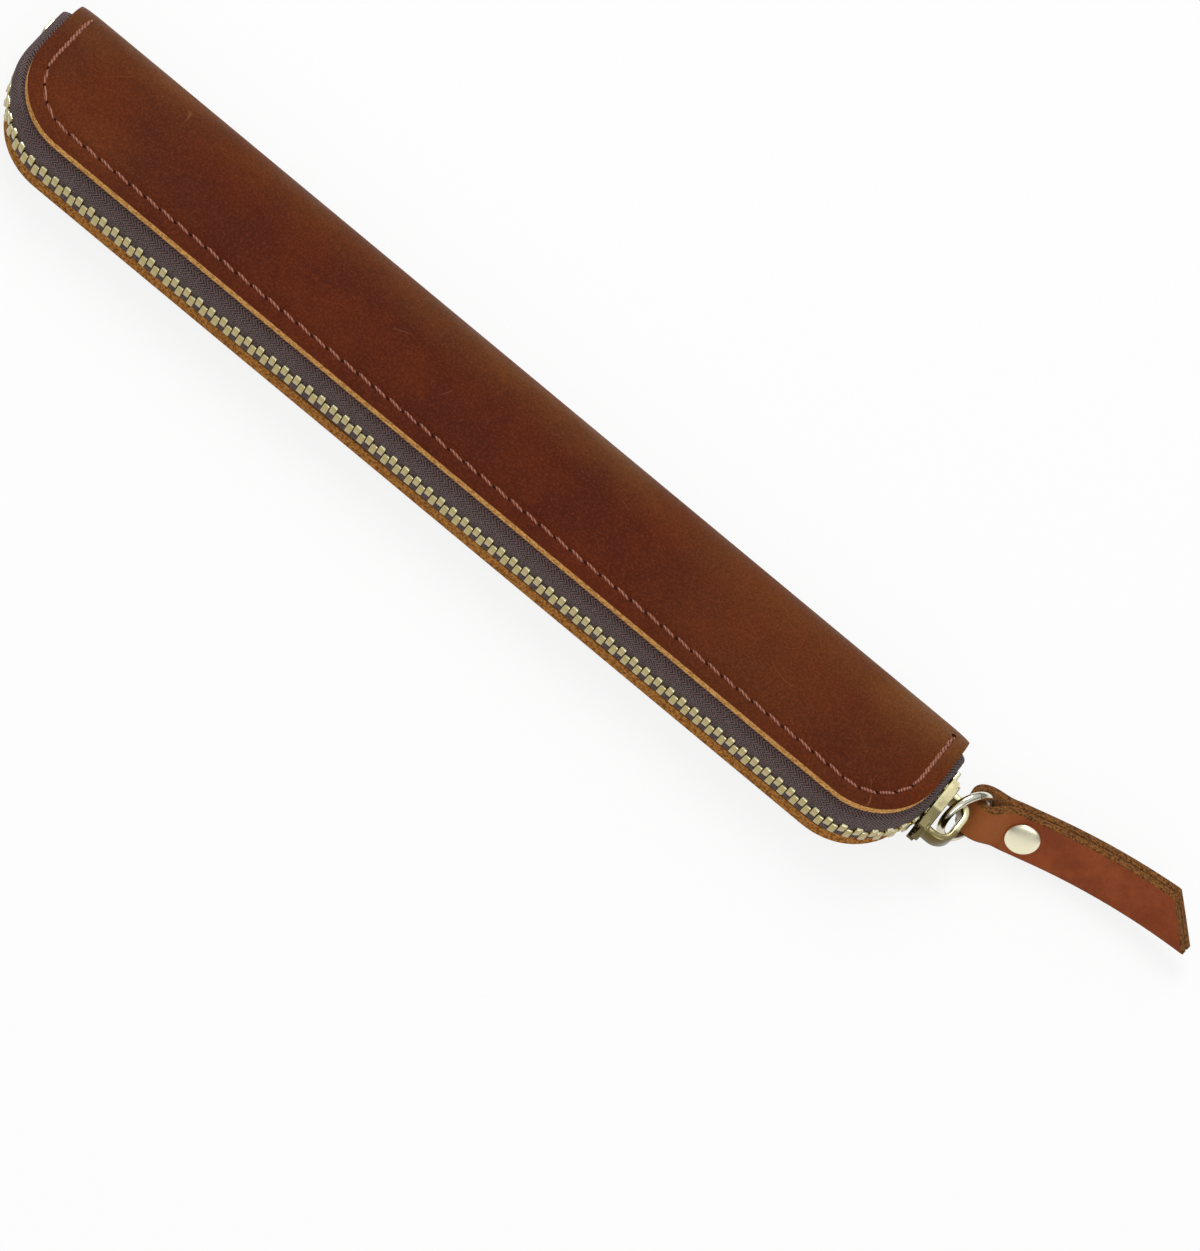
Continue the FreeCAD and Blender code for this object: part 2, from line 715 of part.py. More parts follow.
# Tab thread: a short row across the tab near its square end
tab_stitches = []
for index in range(tab_stitch_count):
    copy = stitch(tab_stitch_length)
    place_y = tab_middle_y + (index - (tab_stitch_count - 1) / 2) * tab_stitch_pitch
    copy.translate(Vector(tab_start_x + tab_stitch_inset, place_y, tab_top))
    tab_stitches.append(copy)
node_shapes["tab_stitches"] = Part.makeCompound(tab_stitches)

os.makedirs("parts", exist_ok=True)
for name, shape in node_shapes.items():
    shape.exportStep("parts/" + name + ".step")
    print(name, len(shape.Solids), round(shape.Volume, 2), shape.isValid())
print("corner centre", corner_x, corner_y, "slider", slider_place)
print("ring pivot", ring_near, "strap pivot", ring_far, "axis", pull_turn.multVec(UP))
print("loop axis", loop_middle, "tab rivet", rivet_spot)
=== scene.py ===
import json
import math

import bmesh
import bpy
from mathutils import Matrix, Vector, noise


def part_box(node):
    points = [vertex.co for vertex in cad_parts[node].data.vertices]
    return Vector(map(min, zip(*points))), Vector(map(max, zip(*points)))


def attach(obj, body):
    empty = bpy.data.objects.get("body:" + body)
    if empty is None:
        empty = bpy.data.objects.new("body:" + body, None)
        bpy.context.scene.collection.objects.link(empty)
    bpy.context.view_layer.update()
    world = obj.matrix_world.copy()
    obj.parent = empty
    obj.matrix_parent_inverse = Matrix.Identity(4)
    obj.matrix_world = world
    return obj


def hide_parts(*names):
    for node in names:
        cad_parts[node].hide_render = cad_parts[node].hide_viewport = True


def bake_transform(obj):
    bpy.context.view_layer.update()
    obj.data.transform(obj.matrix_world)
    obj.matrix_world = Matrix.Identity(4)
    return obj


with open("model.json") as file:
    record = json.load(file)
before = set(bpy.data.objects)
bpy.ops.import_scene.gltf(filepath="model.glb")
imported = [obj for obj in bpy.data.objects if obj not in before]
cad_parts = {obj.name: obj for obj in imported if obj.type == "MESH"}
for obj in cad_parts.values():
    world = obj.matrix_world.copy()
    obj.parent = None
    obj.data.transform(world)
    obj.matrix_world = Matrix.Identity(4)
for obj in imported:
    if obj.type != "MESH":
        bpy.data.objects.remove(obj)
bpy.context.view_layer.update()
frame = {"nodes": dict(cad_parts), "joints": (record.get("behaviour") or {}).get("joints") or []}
bpy.ops.object.select_all(action="DESELECT")


# Leather covers
# One blank of waxed pull-up leather, folded round a soft spine, with raw cut edges and a suede inside.
# Its front and rear halves meet on the spine's outer line, where the sleeve opens like a book.
half_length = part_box("front_cover")[1].x
half_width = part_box("front_cover")[1].y
sleeve_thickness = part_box("front_cover")[1].z
mid_height = sleeve_thickness / 2
leather_thickness = 0.0016
corner_radius = 0.012
corner_x = half_length - corner_radius
corner_y = corner_radius - half_width
spine_y = half_width - mid_height
seam_inset = 0.0027
seam_dent = 0.00032
seam_dent_width = 0.0006
seam_fade = 0.6
edge_drop = 0.00025
edge_drop_reach = 0.0011
panel_crown = 0.00045
ripple = 0.00016
ripple_scale = 70.0
cover_columns = 110
cover_rows = 52
corner_share = 0.18
row_bunching = 1.35
pale_patch_place = (0.056, 0.001, sleeve_thickness)
pale_patch_reach = (0.03, 0.004)
pale_patch_share = 0.24
end_highlight_reach = (half_length - 0.05, half_length - 0.012)
spine_highlight_reach = (spine_y - 0.004, spine_y + 0.0055)
spine_line_reach = (half_width - 0.0001, half_width - 0.0016)
on_cut = 0.0000244
grain_reach = {"front": 0.0, "rear": 0.0006}
flesh_reach = {"front": 0.00045, "rear": 0.0003}


def sheet_grid(name, columns, rows, place):
    """Sheet of quads; place turns each vertex's shares along and across into a point."""
    bpy.ops.object.select_all(action="DESELECT")
    bpy.ops.mesh.primitive_grid_add(x_subdivisions=columns, y_subdivisions=rows, size=1)
    sheet = bpy.context.object
    sheet.name = name
    sheet.data.name = name
    for vertex in sheet.data.vertices:
        vertex.co = place(vertex.co.x + 0.5, vertex.co.y + 0.5)
    return sheet


def only(obj):
    """Make this the one selected and active object."""
    bpy.ops.object.select_all(action="DESELECT")
    obj.select_set(True)
    bpy.context.view_layer.objects.active = obj


def apply_modifier(obj, kind, **settings):
    """Add a modifier with these settings and apply it."""
    only(obj)
    modifier = obj.modifiers.new(kind, kind)
    for key, value in settings.items():
        setattr(modifier, key, value)
    bpy.ops.object.modifier_apply(modifier=modifier.name)


def thicken(sheet, thickness, skins):
    """Give a sheet its outer, inner and cut-edge skins, and its thickness inwards."""
    for skin in skins:
        sheet.data.materials.append(skin)
    apply_modifier(sheet, "SOLIDIFY", thickness=thickness, offset=-1.0,
                   material_offset=1, material_offset_rim=2)


def smooth(obj, angle=40.0):
    """Shade smooth, with edges sharper than this angle kept."""
    only(obj)
    bpy.ops.object.shade_smooth_by_angle(angle=math.radians(angle))


def node(tree, kind, settings=None, **inputs):
    """Shader node. A socket given as an input is linked, any other value set; at0 is the first input."""
    made = tree.nodes.new("ShaderNode" + kind)
    for key, value in (settings or {}).items():
        setattr(made, key, value)
    for key, value in inputs.items():
        socket = made.inputs[int(key[2:])] if key[:2] == "at" else made.inputs[key.replace("_", " ")]
        if isinstance(value, bpy.types.NodeSocket):
            tree.links.new(value, socket)
        else:
            socket.default_value = value
    return made


def math_node(tree, operation, first, second=0.0, third=0.0):
    """Result of an operation on up to three values."""
    return node(tree, "Math", {"operation": operation}, at0=first, at1=second, at2=third).outputs[0]


def mixed(tree, share, first, second):
    """Colour between two colours by a share."""
    return node(tree, "Mix", {"data_type": "RGBA"}, at0=share, at6=first, at7=second).outputs[2]


def ramp(tree, value, low, high):
    """Share that rises smoothly from 0 at low to 1 at high."""
    settings = {"interpolation_type": "SMOOTHSTEP"}
    return node(tree, "MapRange", settings, Value=value, From_Min=low, From_Max=high).outputs[0]


def tinted(tree, base, mask, most, tint):
    """Base colour, taken towards a tint by at most this share where the mask is full."""
    return mixed(tree, math_node(tree, "MULTIPLY", mask, most), base, tint)


def cloud_noise(tree, vector, scale, detail, roughness=0.5):
    """Soft noise between 0 and 1."""
    made = node(tree, "TexNoise", Vector=vector, Scale=scale, Detail=detail, Roughness=roughness)
    return made.outputs[0]


def distance_from(tree, place, point):
    """How far each spot of the surface lies from a point."""
    return node(tree, "VectorMath", {"operation": "DISTANCE"}, at0=place, at1=point).outputs["Value"]


def colour(red, green, blue):
    """Colour written as it looks on a screen, 0 to 255, turned to a shader's linear value."""
    def linear(level):
        share = level / 255
        return share / 12.92 if share <= 0.04045 else ((share + 0.055) / 1.055) ** 2.4
    return (linear(red), linear(green), linear(blue), 1.0)


def new_group(name, inputs, outputs):
    """Empty node group with float inputs and outputs, and a vector input first."""
    tree = bpy.data.node_groups.new(name, "ShaderNodeTree")
    tree.interface.new_socket("Vector", in_out="INPUT", socket_type="NodeSocketVector")
    for label in inputs:
        tree.interface.new_socket(label, in_out="INPUT", socket_type="NodeSocketFloat")
    for label in outputs:
        tree.interface.new_socket(label, in_out="OUTPUT", socket_type="NodeSocketFloat")
    return tree, tree.nodes.new("NodeGroupInput"), tree.nodes.new("NodeGroupOutput")


def place_group(tree, group, vector, **inputs):
    """Put a node group in a material and give its outputs."""
    made = tree.nodes.new("ShaderNodeGroup")
    made.node_tree = group
    tree.links.new(vector, made.inputs["Vector"])
    for key, value in inputs.items():
        made.inputs[key].default_value = value
    return made.outputs


def grain_group():
    """Leather grain: fine pores and creases as a height, and the grooves between the grain's cells as a mask
    for painted shade.
    """
    tree, given, result = new_group("leather_grain", ["Scale"], ["Height", "Pit_shade"])
    vector = given.outputs["Vector"]
    scale = given.outputs["Scale"]
    cells = node(tree, "TexVoronoi", {"feature": "DISTANCE_TO_EDGE"}, Vector=vector, Scale=scale)
    cell_edge = ramp(tree, cells.outputs["Distance"], 0.0, 0.12)
    creases = cloud_noise(tree, vector, scale, detail=4.0, roughness=0.6)
    height = math_node(tree, "MULTIPLY_ADD", cell_edge, 0.55, creases)
    pit_shade = math_node(tree, "SUBTRACT", 1.0, cell_edge)
    tree.links.new(height, result.inputs["Height"])
    tree.links.new(pit_shade, result.inputs["Pit_shade"])
    return tree


def mottle_group():
    """Uneven colour of waxed leather: broad clouds, and a few hair-thin scratches."""
    tree, given, result = new_group("leather_mottle", ["Scale"], ["Clouds", "Scratches"])
    vector = given.outputs["Vector"]
    clouds = cloud_noise(tree, vector, given.outputs["Scale"], detail=5.0, roughness=0.62)
    contour = cloud_noise(tree, vector, scale=75.0, detail=0.0)
    off_line = math_node(tree, "ABSOLUTE", math_node(tree, "SUBTRACT", contour, 0.5))
    patches = ramp(tree, cloud_noise(tree, vector, scale=190.0, detail=1.0), 0.62, 0.7)
    scratches = math_node(tree, "MULTIPLY", ramp(tree, off_line, 0.004, 0.001), patches)
    tree.links.new(ramp(tree, clouds, 0.36, 0.66), result.inputs["Clouds"])
    tree.links.new(scratches, result.inputs["Scratches"])
    return tree


leather_grain = grain_group()
leather_mottle = mottle_group()


def new_material(name, roughness):
    """Material with its tree, its shader and its Object coordinates."""
    material = bpy.data.materials.new(name)
    material.use_nodes = True
    tree = material.node_tree
    shader = tree.nodes["Principled BSDF"]
    shader.inputs["Roughness"].default_value = roughness
    place = node(tree, "TexCoord").outputs["Object"]
    return material, tree, shader, place


def bump(tree, shader, height, strength, distance):
    """Relief of the surface from a height."""
    made = node(tree, "Bump", Height=height, Strength=strength, Distance=distance)
    tree.links.new(made.outputs[0], shader.inputs["Normal"])


def cover_leather():
    """Grain side: dark red-brown wax, with a painted highlight round the spine's bend and towards both ends,
    and a paler patch on the front.
    """
    material, tree, shader, place = new_material("cover_leather", roughness=0.5)
    axes = node(tree, "SeparateXYZ", Vector=place).outputs
    mottle = place_group(tree, leather_mottle, place, Scale=70.0)
    grain = place_group(tree, leather_grain, place, Scale=2300.0)
    base = mixed(tree, mottle["Clouds"], colour(82, 29, 9), colour(98, 38, 13))
    # Painted highlight towards both ends, broken up by smeared clouds.
    ends = ramp(tree, math_node(tree, "ABSOLUTE", axes[0]), *end_highlight_reach)
    stretched = node(tree, "Mapping", Vector=place, Scale=(0.45, 1.0, 1.0)).outputs[0]
    smear = place_group(tree, leather_mottle, stretched, Scale=48.0)["Clouds"]
    paled = math_node(tree, "MULTIPLY", ends, math_node(tree, "MULTIPLY_ADD", smear, 0.22, 0.03))
    # A paler patch round one spot of the front, joined to the painted end highlight.
    patch = ramp(tree, distance_from(tree, place, pale_patch_place), *pale_patch_reach)
    paled = math_node(tree, "MAXIMUM", paled, math_node(tree, "MULTIPLY", patch, pale_patch_share))
    base = mixed(tree, paled, base, colour(132, 76, 34))
    # Painted highlight round the spine's bend, weaker right on the spine's top line.
    bend = ramp(tree, axes[1], *spine_highlight_reach)
    off_spine_line = ramp(tree, axes[1], *spine_line_reach)
    bend = math_node(tree, "MULTIPLY", bend, math_node(tree, "MULTIPLY_ADD", off_spine_line, 0.5, 0.35))
    bend = math_node(tree, "MULTIPLY", bend, math_node(tree, "MULTIPLY_ADD", smear, 0.6, 0.3))
    base = mixed(tree, bend, base, colour(130, 84, 42))
    nap = cloud_noise(tree, place, scale=2600.0, detail=5.0, roughness=0.7)
    base = tinted(tree, base, ramp(tree, nap, 0.60, 0.36), 0.32, colour(50, 18, 8))
    base = tinted(tree, base, ramp(tree, nap, 0.48, 0.70), 0.24, colour(136, 74, 40))
    base = tinted(tree, base, mottle["Scratches"], 0.3, colour(164, 104, 66))
    # Painted shade in the grain's grooves.
    base = tinted(tree, base, grain["Pit_shade"], 0.16, colour(52, 22, 10))
    tree.links.new(base, shader.inputs["Base Color"])
    rough = math_node(tree, "MULTIPLY_ADD", mottle["Clouds"], 0.12, 0.46)
    tree.links.new(rough, shader.inputs["Roughness"])
    shader.inputs["Specular IOR Level"].default_value = 0.07
    bump(tree, shader, grain["Height"], strength=0.5, distance=0.00018)
    return material


def suede():
    """Flesh side: soft tan nap with darker brushed patches."""
    material, tree, shader, place = new_material("suede_lining", roughness=0.95)
    nap = cloud_noise(tree, place, scale=3200.0, detail=6.0, roughness=0.75)
    brushed = place_group(tree, leather_mottle, place, Scale=140.0)["Clouds"]
    base = mixed(tree, brushed, colour(156, 98, 40), colour(184, 124, 58))
    base = mixed(tree, ramp(tree, nap, 0.62, 0.40), base, colour(122, 74, 28))
    tree.links.new(base, shader.inputs["Base Color"])
    shader.inputs["Sheen Weight"].default_value = 0.25
    bump(tree, shader, nap, strength=0.6, distance=0.0002)
    return material


def raw_edge(name, gap_shade, fibre):
    """Cut edge: pale fibres with painted shade in the low gaps between them."""
    material, tree, shader, place = new_material(name, roughness=0.85)
    strands = cloud_noise(tree, place, scale=2400.0, detail=6.0, roughness=0.7)
    tree.links.new(mixed(tree, ramp(tree, strands, 0.35, 0.62), gap_shade, fibre), shader.inputs["Base Color"])
    shader.inputs["Specular IOR Level"].default_value = 0.15
    bump(tree, shader, strands, strength=0.7, distance=0.0002)
    return material


def clamped(value):
    """Value kept between 0 and 1."""
    return min(max(value, 0), 1)


def edge_distance(x, y):
    """How far a point of the flat panel lies inside the raw edge."""
    past_x = abs(x) - corner_x
    past_y = corner_y - y
    if past_x > 0 and past_y > 0:
        return corner_radius - math.hypot(past_x, past_y)
    return min(half_length - abs(x), half_width + y)


def column_x(along):
    """Columns bunch up round the corners, where the edge turns."""
    if along < corner_share:
        return -corner_x - corner_radius * math.sin((1 - along / corner_share) * math.pi / 2)
    if along > 1 - corner_share:
        return corner_x + corner_radius * math.sin((along - 1 + corner_share) / corner_share * math.pi / 2)
    return corner_x * (2 * (along - corner_share) / (1 - 2 * corner_share) - 1)


def edge_relief(inset, angle=0.0):
    """Depth of the grain side near a raw edge: worn down, and pulled in by the seam up to its end."""
    pull = max(1 - angle / seam_fade, 0)
    dent = pull * seam_dent * math.exp(-((inset - seam_inset) / seam_dent_width) ** 2)
    return -dent - edge_drop * math.exp(-inset / edge_drop_reach)


def panel_relief(x, y, crown):
    """Height of the grain side over the flat panel, whose middle is a little full."""
    across = clamped((spine_y - y) / (spine_y + half_width))
    ends = min((half_length - abs(x)) / corner_radius, 1)
    swell = crown * math.sin(math.pi * across) * math.sin(ends * math.pi / 2)
    wave = ripple * noise.noise(Vector((x, y, 0)) * ripple_scale) * math.sin(math.pi * across)
    return edge_relief(edge_distance(x, y)) + swell + (wave if crown else -abs(wave))


def cover_point(along, across, side):
    """Point of the grain side from the raw edge, over the flat panel and round a quarter of the spine."""
    x = column_x(along)
    edge_y = corner_y - math.sqrt(max(corner_radius ** 2 - max(abs(x) - corner_x, 0) ** 2, 0))
    flat = spine_y - edge_y
    reach = (flat + mid_height * math.pi / 2) * across ** row_bunching
    if reach <= flat:
        y = edge_y + reach
        height = sleeve_thickness + panel_relief(x, y, panel_crown if side > 0 else 0)
    else:
        angle = (reach - flat) / mid_height
        radius = mid_height + edge_relief(half_length - abs(x), angle)
        y = spine_y + radius * math.sin(angle)
        height = mid_height + radius * math.cos(angle)
    return Vector((x, y, height if side > 0 else sleeve_thickness - height))


def outward_at(x, y):
    """Direction out of the panel at its raw edge."""
    if y > corner_y:
        return Vector((math.copysign(1, x), 0, 0))
    if abs(x) < corner_x:
        return Vector((0, -1, 0))
    return Vector((x - math.copysign(corner_x, x), y - corner_y, 0)).normalized()


def at_hinge(middle):
    """Whether a spot lies where the two halves meet on the spine."""
    return abs(middle.z - mid_height) < leather_thickness / 8 and middle.y > spine_y


grain_side = cover_leather()
flesh_side = suede()
cover_edges = {
    "front": raw_edge("front_raw_edge", colour(158, 100, 44), colour(232, 176, 102)),
    # The rear cut edge is the same leather as the front one, painted darker as painted shade.
    "rear": raw_edge("rear_raw_edge_shaded", colour(118, 66, 22), colour(206, 142, 70)),
}


def join_half(piece, half):
    """Front pieces get their place baked into the mesh; rear pieces are attached to the rear half."""
    if half == "front":
        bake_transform(piece)
    else:
        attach(piece, "rear_half")


for half, side in (("front", 1), ("rear", -1)):
    cover = sheet_grid(half + "_leather", cover_columns, cover_rows,
                       lambda along, across, way=side: cover_point(along, across, way))
    if cover.data.polygons[len(cover.data.polygons) // 3].normal.z * side < 0:
        cover.data.flip_normals()
    grain_count = len(cover.data.vertices)
    cut = [vertex.index for vertex in cover.data.vertices
           if edge_distance(vertex.co.x, vertex.co.y) < on_cut]
    thicken(cover, leather_thickness, (grain_side, flesh_side, cover_edges[half]))
    for index in cut:
        grain = cover.data.vertices[index]
        flesh = cover.data.vertices[grain_count + index]
        outward = outward_at(flesh.co.x, flesh.co.y)
        outward *= clamped((spine_y - flesh.co.y) / (spine_y - corner_y))
        grain.co += outward * grain_reach[half]
        flesh.co += outward * flesh_reach[half]
    for face in cover.data.polygons:
        if face.material_index == 2 and at_hinge(face.center):
            face.material_index = 1
    smooth(cover)
    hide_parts(half + "_cover")
    join_half(cover, half)


# Seams
# A line of waxed thread near the raw edge, pulled into the leather, with a dark disc of painted shade where
# the needle went through at each stitch's end.
# Both halves are sewn alike, through leather and tape, and locked by going back over the last stitches.
stitch_pitch = 0.0030
stitch_size = Vector((0.0028, 0.00058, 0.00056))
stitch_fullness = 0.62
locked_stitches = 3
stitch_slant = Matrix.Rotation(math.radians(-9.0), 4, "Z")
seam_end_run = 0.0092
hole_shade_radius = 0.00043
hole_shade_depth = 0.0001


def rim(offset, travel):
    """Point and outward direction on the zip side's outline; travel starts where the far corner does."""
    radius = corner_radius + offset
    turn_length = radius * math.pi / 2
    straight_length = 2 * corner_x
    if travel < 0:
        return Vector((-corner_x - radius, corner_y - travel, 0)), Vector((-1, 0, 0))
    if travel < turn_length:
        centre_x = -corner_x
        angle = math.pi + travel / radius
    elif travel < turn_length + straight_length:
        return Vector((travel - turn_length - corner_x, corner_y - radius, 0)), Vector((0, -1, 0))
    elif travel < 2 * turn_length + straight_length:
        centre_x = corner_x
        angle = math.pi * 1.5 + (travel - turn_length - straight_length) / radius
    else:
        rise = travel - 2 * turn_length - straight_length
        return Vector((corner_x + radius, corner_y + rise, 0)), Vector((1, 0, 0))
    outward = Vector((math.cos(angle), math.sin(angle), 0))
    return Vector((centre_x, corner_y, 0)) + outward * radius, outward


def rim_length(offset):
    """Length of that outline from corner to corner, both turns included."""
    return 2 * corner_x + math.pi * (corner_radius + offset)


def on_grain(travel, side):
    """Point and normal on the grain side of one half, at a travel along its seam."""
    flat, _ = rim(-seam_inset, travel)
    if flat.y <= spine_y:
        normal = Vector((0, 0, 1))
        height = sleeve_thickness + panel_relief(flat.x, flat.y, panel_crown if side > 0 else 0)
        point = Vector((flat.x, flat.y, height))
    else:
        angle = (flat.y - spine_y) / mid_height
        normal = Vector((0, math.sin(angle), math.cos(angle)))
        radius = mid_height + edge_relief(half_length - abs(flat.x), angle)
        point = Vector((flat.x, spine_y, mid_height)) + normal * radius
    if side < 0:
        point.z = sleeve_thickness - point.z
        normal.z = -normal.z
    return point, normal


def added(name, data):
    """New object in the scene from a mesh, a light or a camera."""
    made = bpy.data.objects.new(name, data)
    bpy.context.scene.collection.objects.link(made)
    return made


def repeated(base, name, places):
    """One object with a copy of the base at each place; the base goes."""
    whole = bmesh.new()
    for place in places:
        copy = base.data.copy()
        copy.transform(place)
        whole.from_mesh(copy)
        bpy.data.meshes.remove(copy)
    mesh = bpy.data.meshes.new(name)
    whole.to_mesh(mesh)
    whole.free()
    for material in base.data.materials:
        mesh.materials.append(material)
    bpy.data.objects.remove(base)
    return added(name, mesh)


def joined(name, first, *others):
    """One object from several, named and with the first one's place."""
    only(first)
    for other in others:
        other.select_set(True)
    bpy.ops.object.join()
    first.name = name
    first.data.name = name
    return first


def axes_matrix(point, along, up):
    """Place whose X runs along and whose Z is as near to up as it can be."""
    x_axis = along.normalized()
    y_axis = up.cross(x_axis).normalized()
    z_axis = x_axis.cross(y_axis)
    return Matrix.Translation(point) @ Matrix((x_axis, y_axis, z_axis)).transposed().to_4x4()


def slanting_bands(tree, place, scale, distortion):
    """Slanting bands from 0 to 1, as of twisted or woven threads."""
    settings = {"bands_direction": "DIAGONAL"}
    return node(tree, "TexWave", settings, Vector=place, Scale=scale, Distortion=distortion).outputs["Fac"]


def thread():
    """Twisted brown thread, with a painted highlight on the crown of each twist and painted shade between.
    """
    material, tree, shader, place = new_material("seam_thread", roughness=0.7)
    twist = slanting_bands(tree, place, scale=900.0, distortion=2.0)
    # Twist bands: painted highlight on the crowns and painted shade in the grooves, over the same bump.
    base = mixed(tree, twist, colour(94, 46, 32), colour(178, 114, 88))
    tree.links.new(base, shader.inputs["Base Color"])
    bump(tree, shader, twist, strength=0.5, distance=0.0001)
    return material


def plain(name, tint, roughness):
    """Dull dark surface with a little uneven colour."""
    material, tree, shader, place = new_material(name, roughness)
    cloud = cloud_noise(tree, place, scale=1500.0, detail=3.0)
    dark = [0.6 * level for level in tint[:3]] + [1.0]
    shader.inputs["Specular IOR Level"].default_value = 0.1
    tree.links.new(mixed(tree, cloud, dark, tint), shader.inputs["Base Color"])
    return material


seam_thread = thread()
# Flat dark discs on the grain where the needle went through: painted shade.
needle_hole_shade = plain("needle_hole_shade", colour(44, 19, 10), roughness=0.9)
seam_length = rim_length(-seam_inset) + 2 * seam_end_run
seam_count = int(seam_length / stitch_pitch)
for half, side in (("front", 1), ("rear", -1)):
    stitch_places = []
    hole_shade_places = []
    steps = list(range(seam_count))
    for step in range(locked_stitches):
        steps += [step + 0.5, seam_count - 1.5 - step]
    for step in steps:
        travel = (step + 0.5) * seam_length / seam_count - seam_end_run
        centre, normal = on_grain(travel, side)
        stitch_end, end_normal = on_grain(travel + stitch_pitch / 2, side)
        along_seam = stitch_end - centre
        stitch_places.append(axes_matrix(centre, along_seam, normal) @ stitch_slant)
        hole_shade_places.append(axes_matrix(stitch_end, along_seam, end_normal))
    bpy.ops.object.select_all(action="DESELECT")
    bpy.ops.mesh.primitive_uv_sphere_add(segments=8, ring_count=6, radius=0.5)
    stitch = bpy.context.object
    stitch.data.transform(Matrix.Rotation(math.pi / 2, 4, "Y"))
    for vertex in stitch.data.vertices:
        vertex.co.x = math.copysign(0.5 * abs(2 * vertex.co.x) ** stitch_fullness, vertex.co.x)
    stitch.data.transform(Matrix.Diagonal((*stitch_size, 1.0)))
    stitch.data.materials.append(seam_thread)
    bpy.ops.object.select_all(action="DESELECT")
    bpy.ops.mesh.primitive_cylinder_add(vertices=8, radius=hole_shade_radius, depth=hole_shade_depth)
    hole_shade = bpy.context.object
    hole_shade.data.materials.append(needle_hole_shade)
    stitches = repeated(stitch, "stitches", stitch_places)
    hole_shades = repeated(hole_shade, "hole_shades", hole_shade_places)
    seam = joined(half + "_thread", stitches, hole_shades)
    smooth(seam, 60.0)
    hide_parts(half + "_seam")
    join_half(seam, half)


# Zip tapes
# Woven herringbone tape, sewn under each leather edge and bulging out to the chain in the middle.
# At both ends it runs up beside the spine and narrows as the leather closes in.
tape_thickness = 0.0005
chain_offset = 0.001
tape_end_run = 0.0088
tape_reach = 0.008
tape_wall = 0.0013
tape_edge = 0.0007
tape_bend_end = -0.0026
tape_clearance = 0.00004
tape_under = mid_height - leather_thickness - tape_clearance
tape_bulge = {1: ((0.0014, 0.0022), (0.0019, tape_under)), -1: ((0.0014, 0.0024), (0.0011, 0.0056))}
weave_turn = 0.0009
weave_period = 0.0006
tape_columns = 260
tape_rows = 26
bend_share = 0.55
chain_wave = 0.0012
chain_wave_scale = 26.0
slider_stretch = 0.028
far_swell = 0.0009
free_edge_wave = 0.0011
free_edge_scale = 75.0
far_swell_reach = 0.016
chain_length = rim_length(chain_offset)
tape_width = 0.016


def eased(value):
    """Share from 0 to 1 that starts and ends softly."""
    share = clamped(value)
    return share * share * (3 - 2 * share)


def wave_height(travel):
    """How far the closed chain wanders from mid height; none at its ends or where the slider runs."""
    share = clamped(travel / (chain_length - slider_stretch))
    wander = noise.noise(Vector((travel * chain_wave_scale, 0.3, 0.7)))
    return chain_wave * math.sin(math.pi * share) * wander


def tape_section(across, side, swell):
    """Offset from the raw edge and height from the middle, from the chain's edge to the sewn edge."""
    if across > bend_share:
        share = (across - bend_share) / (1 - bend_share)
        return tape_bend_end + (-tape_reach - tape_bend_end) * share, tape_under
    t = across / bend_share
    fullness = swell if side > 0 else 0
    bulge = [(out + fullness, height) for out, height in tape_bulge[side]]
    controls = [(tape_wall, tape_edge), *bulge, (tape_bend_end, tape_under)]
    shares = ((1 - t) ** 3, 3 * t * (1 - t) ** 2, 3 * t * t * (1 - t), t ** 3)
    return tuple(sum(share * point[i] for share, point in zip(shares, controls)) for i in range(2))


def tape_point(along, across, side):
    """Point of a tape, along the chain and across from the chain's edge to the free edge."""
    travel = along * (chain_length + 2 * tape_end_run) - tape_end_run
    on_chain, outward = rim(chain_offset, travel)
    offset, height = tape_section(across, side, far_swell * eased(1 - travel / far_swell_reach))
    point = on_chain + outward * (offset - chain_offset)
    inner = mid_height - leather_thickness
    if point.y > spine_y:
        room = math.sqrt(max(inner ** 2 - (point.y - spine_y) ** 2, 0))
        height = height * room / inner
    loose = max(1 - across / bend_share, 0)
    inside = max(across - bend_share, 0) / (1 - bend_share)
    wave = 0.5 + noise.noise(Vector((travel * free_edge_scale, 0.6, side)))
    point += outward * inside * free_edge_wave * wave
    point.z = mid_height + side * height + wave_height(travel) * loose
    return point


def tape_fabric():
    """Herringbone weave on the tape's own length and width: ribs that turn back every few threads, with a
    painted highlight on each rib's crown and painted shade between.
    """
    material, tree, shader, place = new_material("zip_tape", roughness=0.85)
    uv = node(tree, "UVMap").outputs[0]
    axes = node(tree, "SeparateXYZ", Vector=uv).outputs
    zigzag = math_node(tree, "PINGPONG", axes[1], weave_turn)
    phase = math_node(tree, "MULTIPLY", math_node(tree, "ADD", axes[0], zigzag), 2 * math.pi / weave_period)
    rib = math_node(tree, "MULTIPLY_ADD", math_node(tree, "SINE", phase), 0.5, 0.5)
    fluff = cloud_noise(tree, place, scale=1800.0, detail=5.0, roughness=0.7)
    # Painted highlight on each rib's crown and painted shade between the ribs.
    base = mixed(tree, rib, colour(27, 19, 22), colour(125, 96, 91))
    base = mixed(tree, ramp(tree, fluff, 0.45, 0.75), base, colour(118, 98, 98))
    tree.links.new(base, shader.inputs["Base Color"])
    shader.inputs["Sheen Weight"].default_value = 0.15
    shader.inputs["Specular IOR Level"].default_value = 0.2
    bump(tree, shader, rib, strength=1.0, distance=0.00025)
    return material


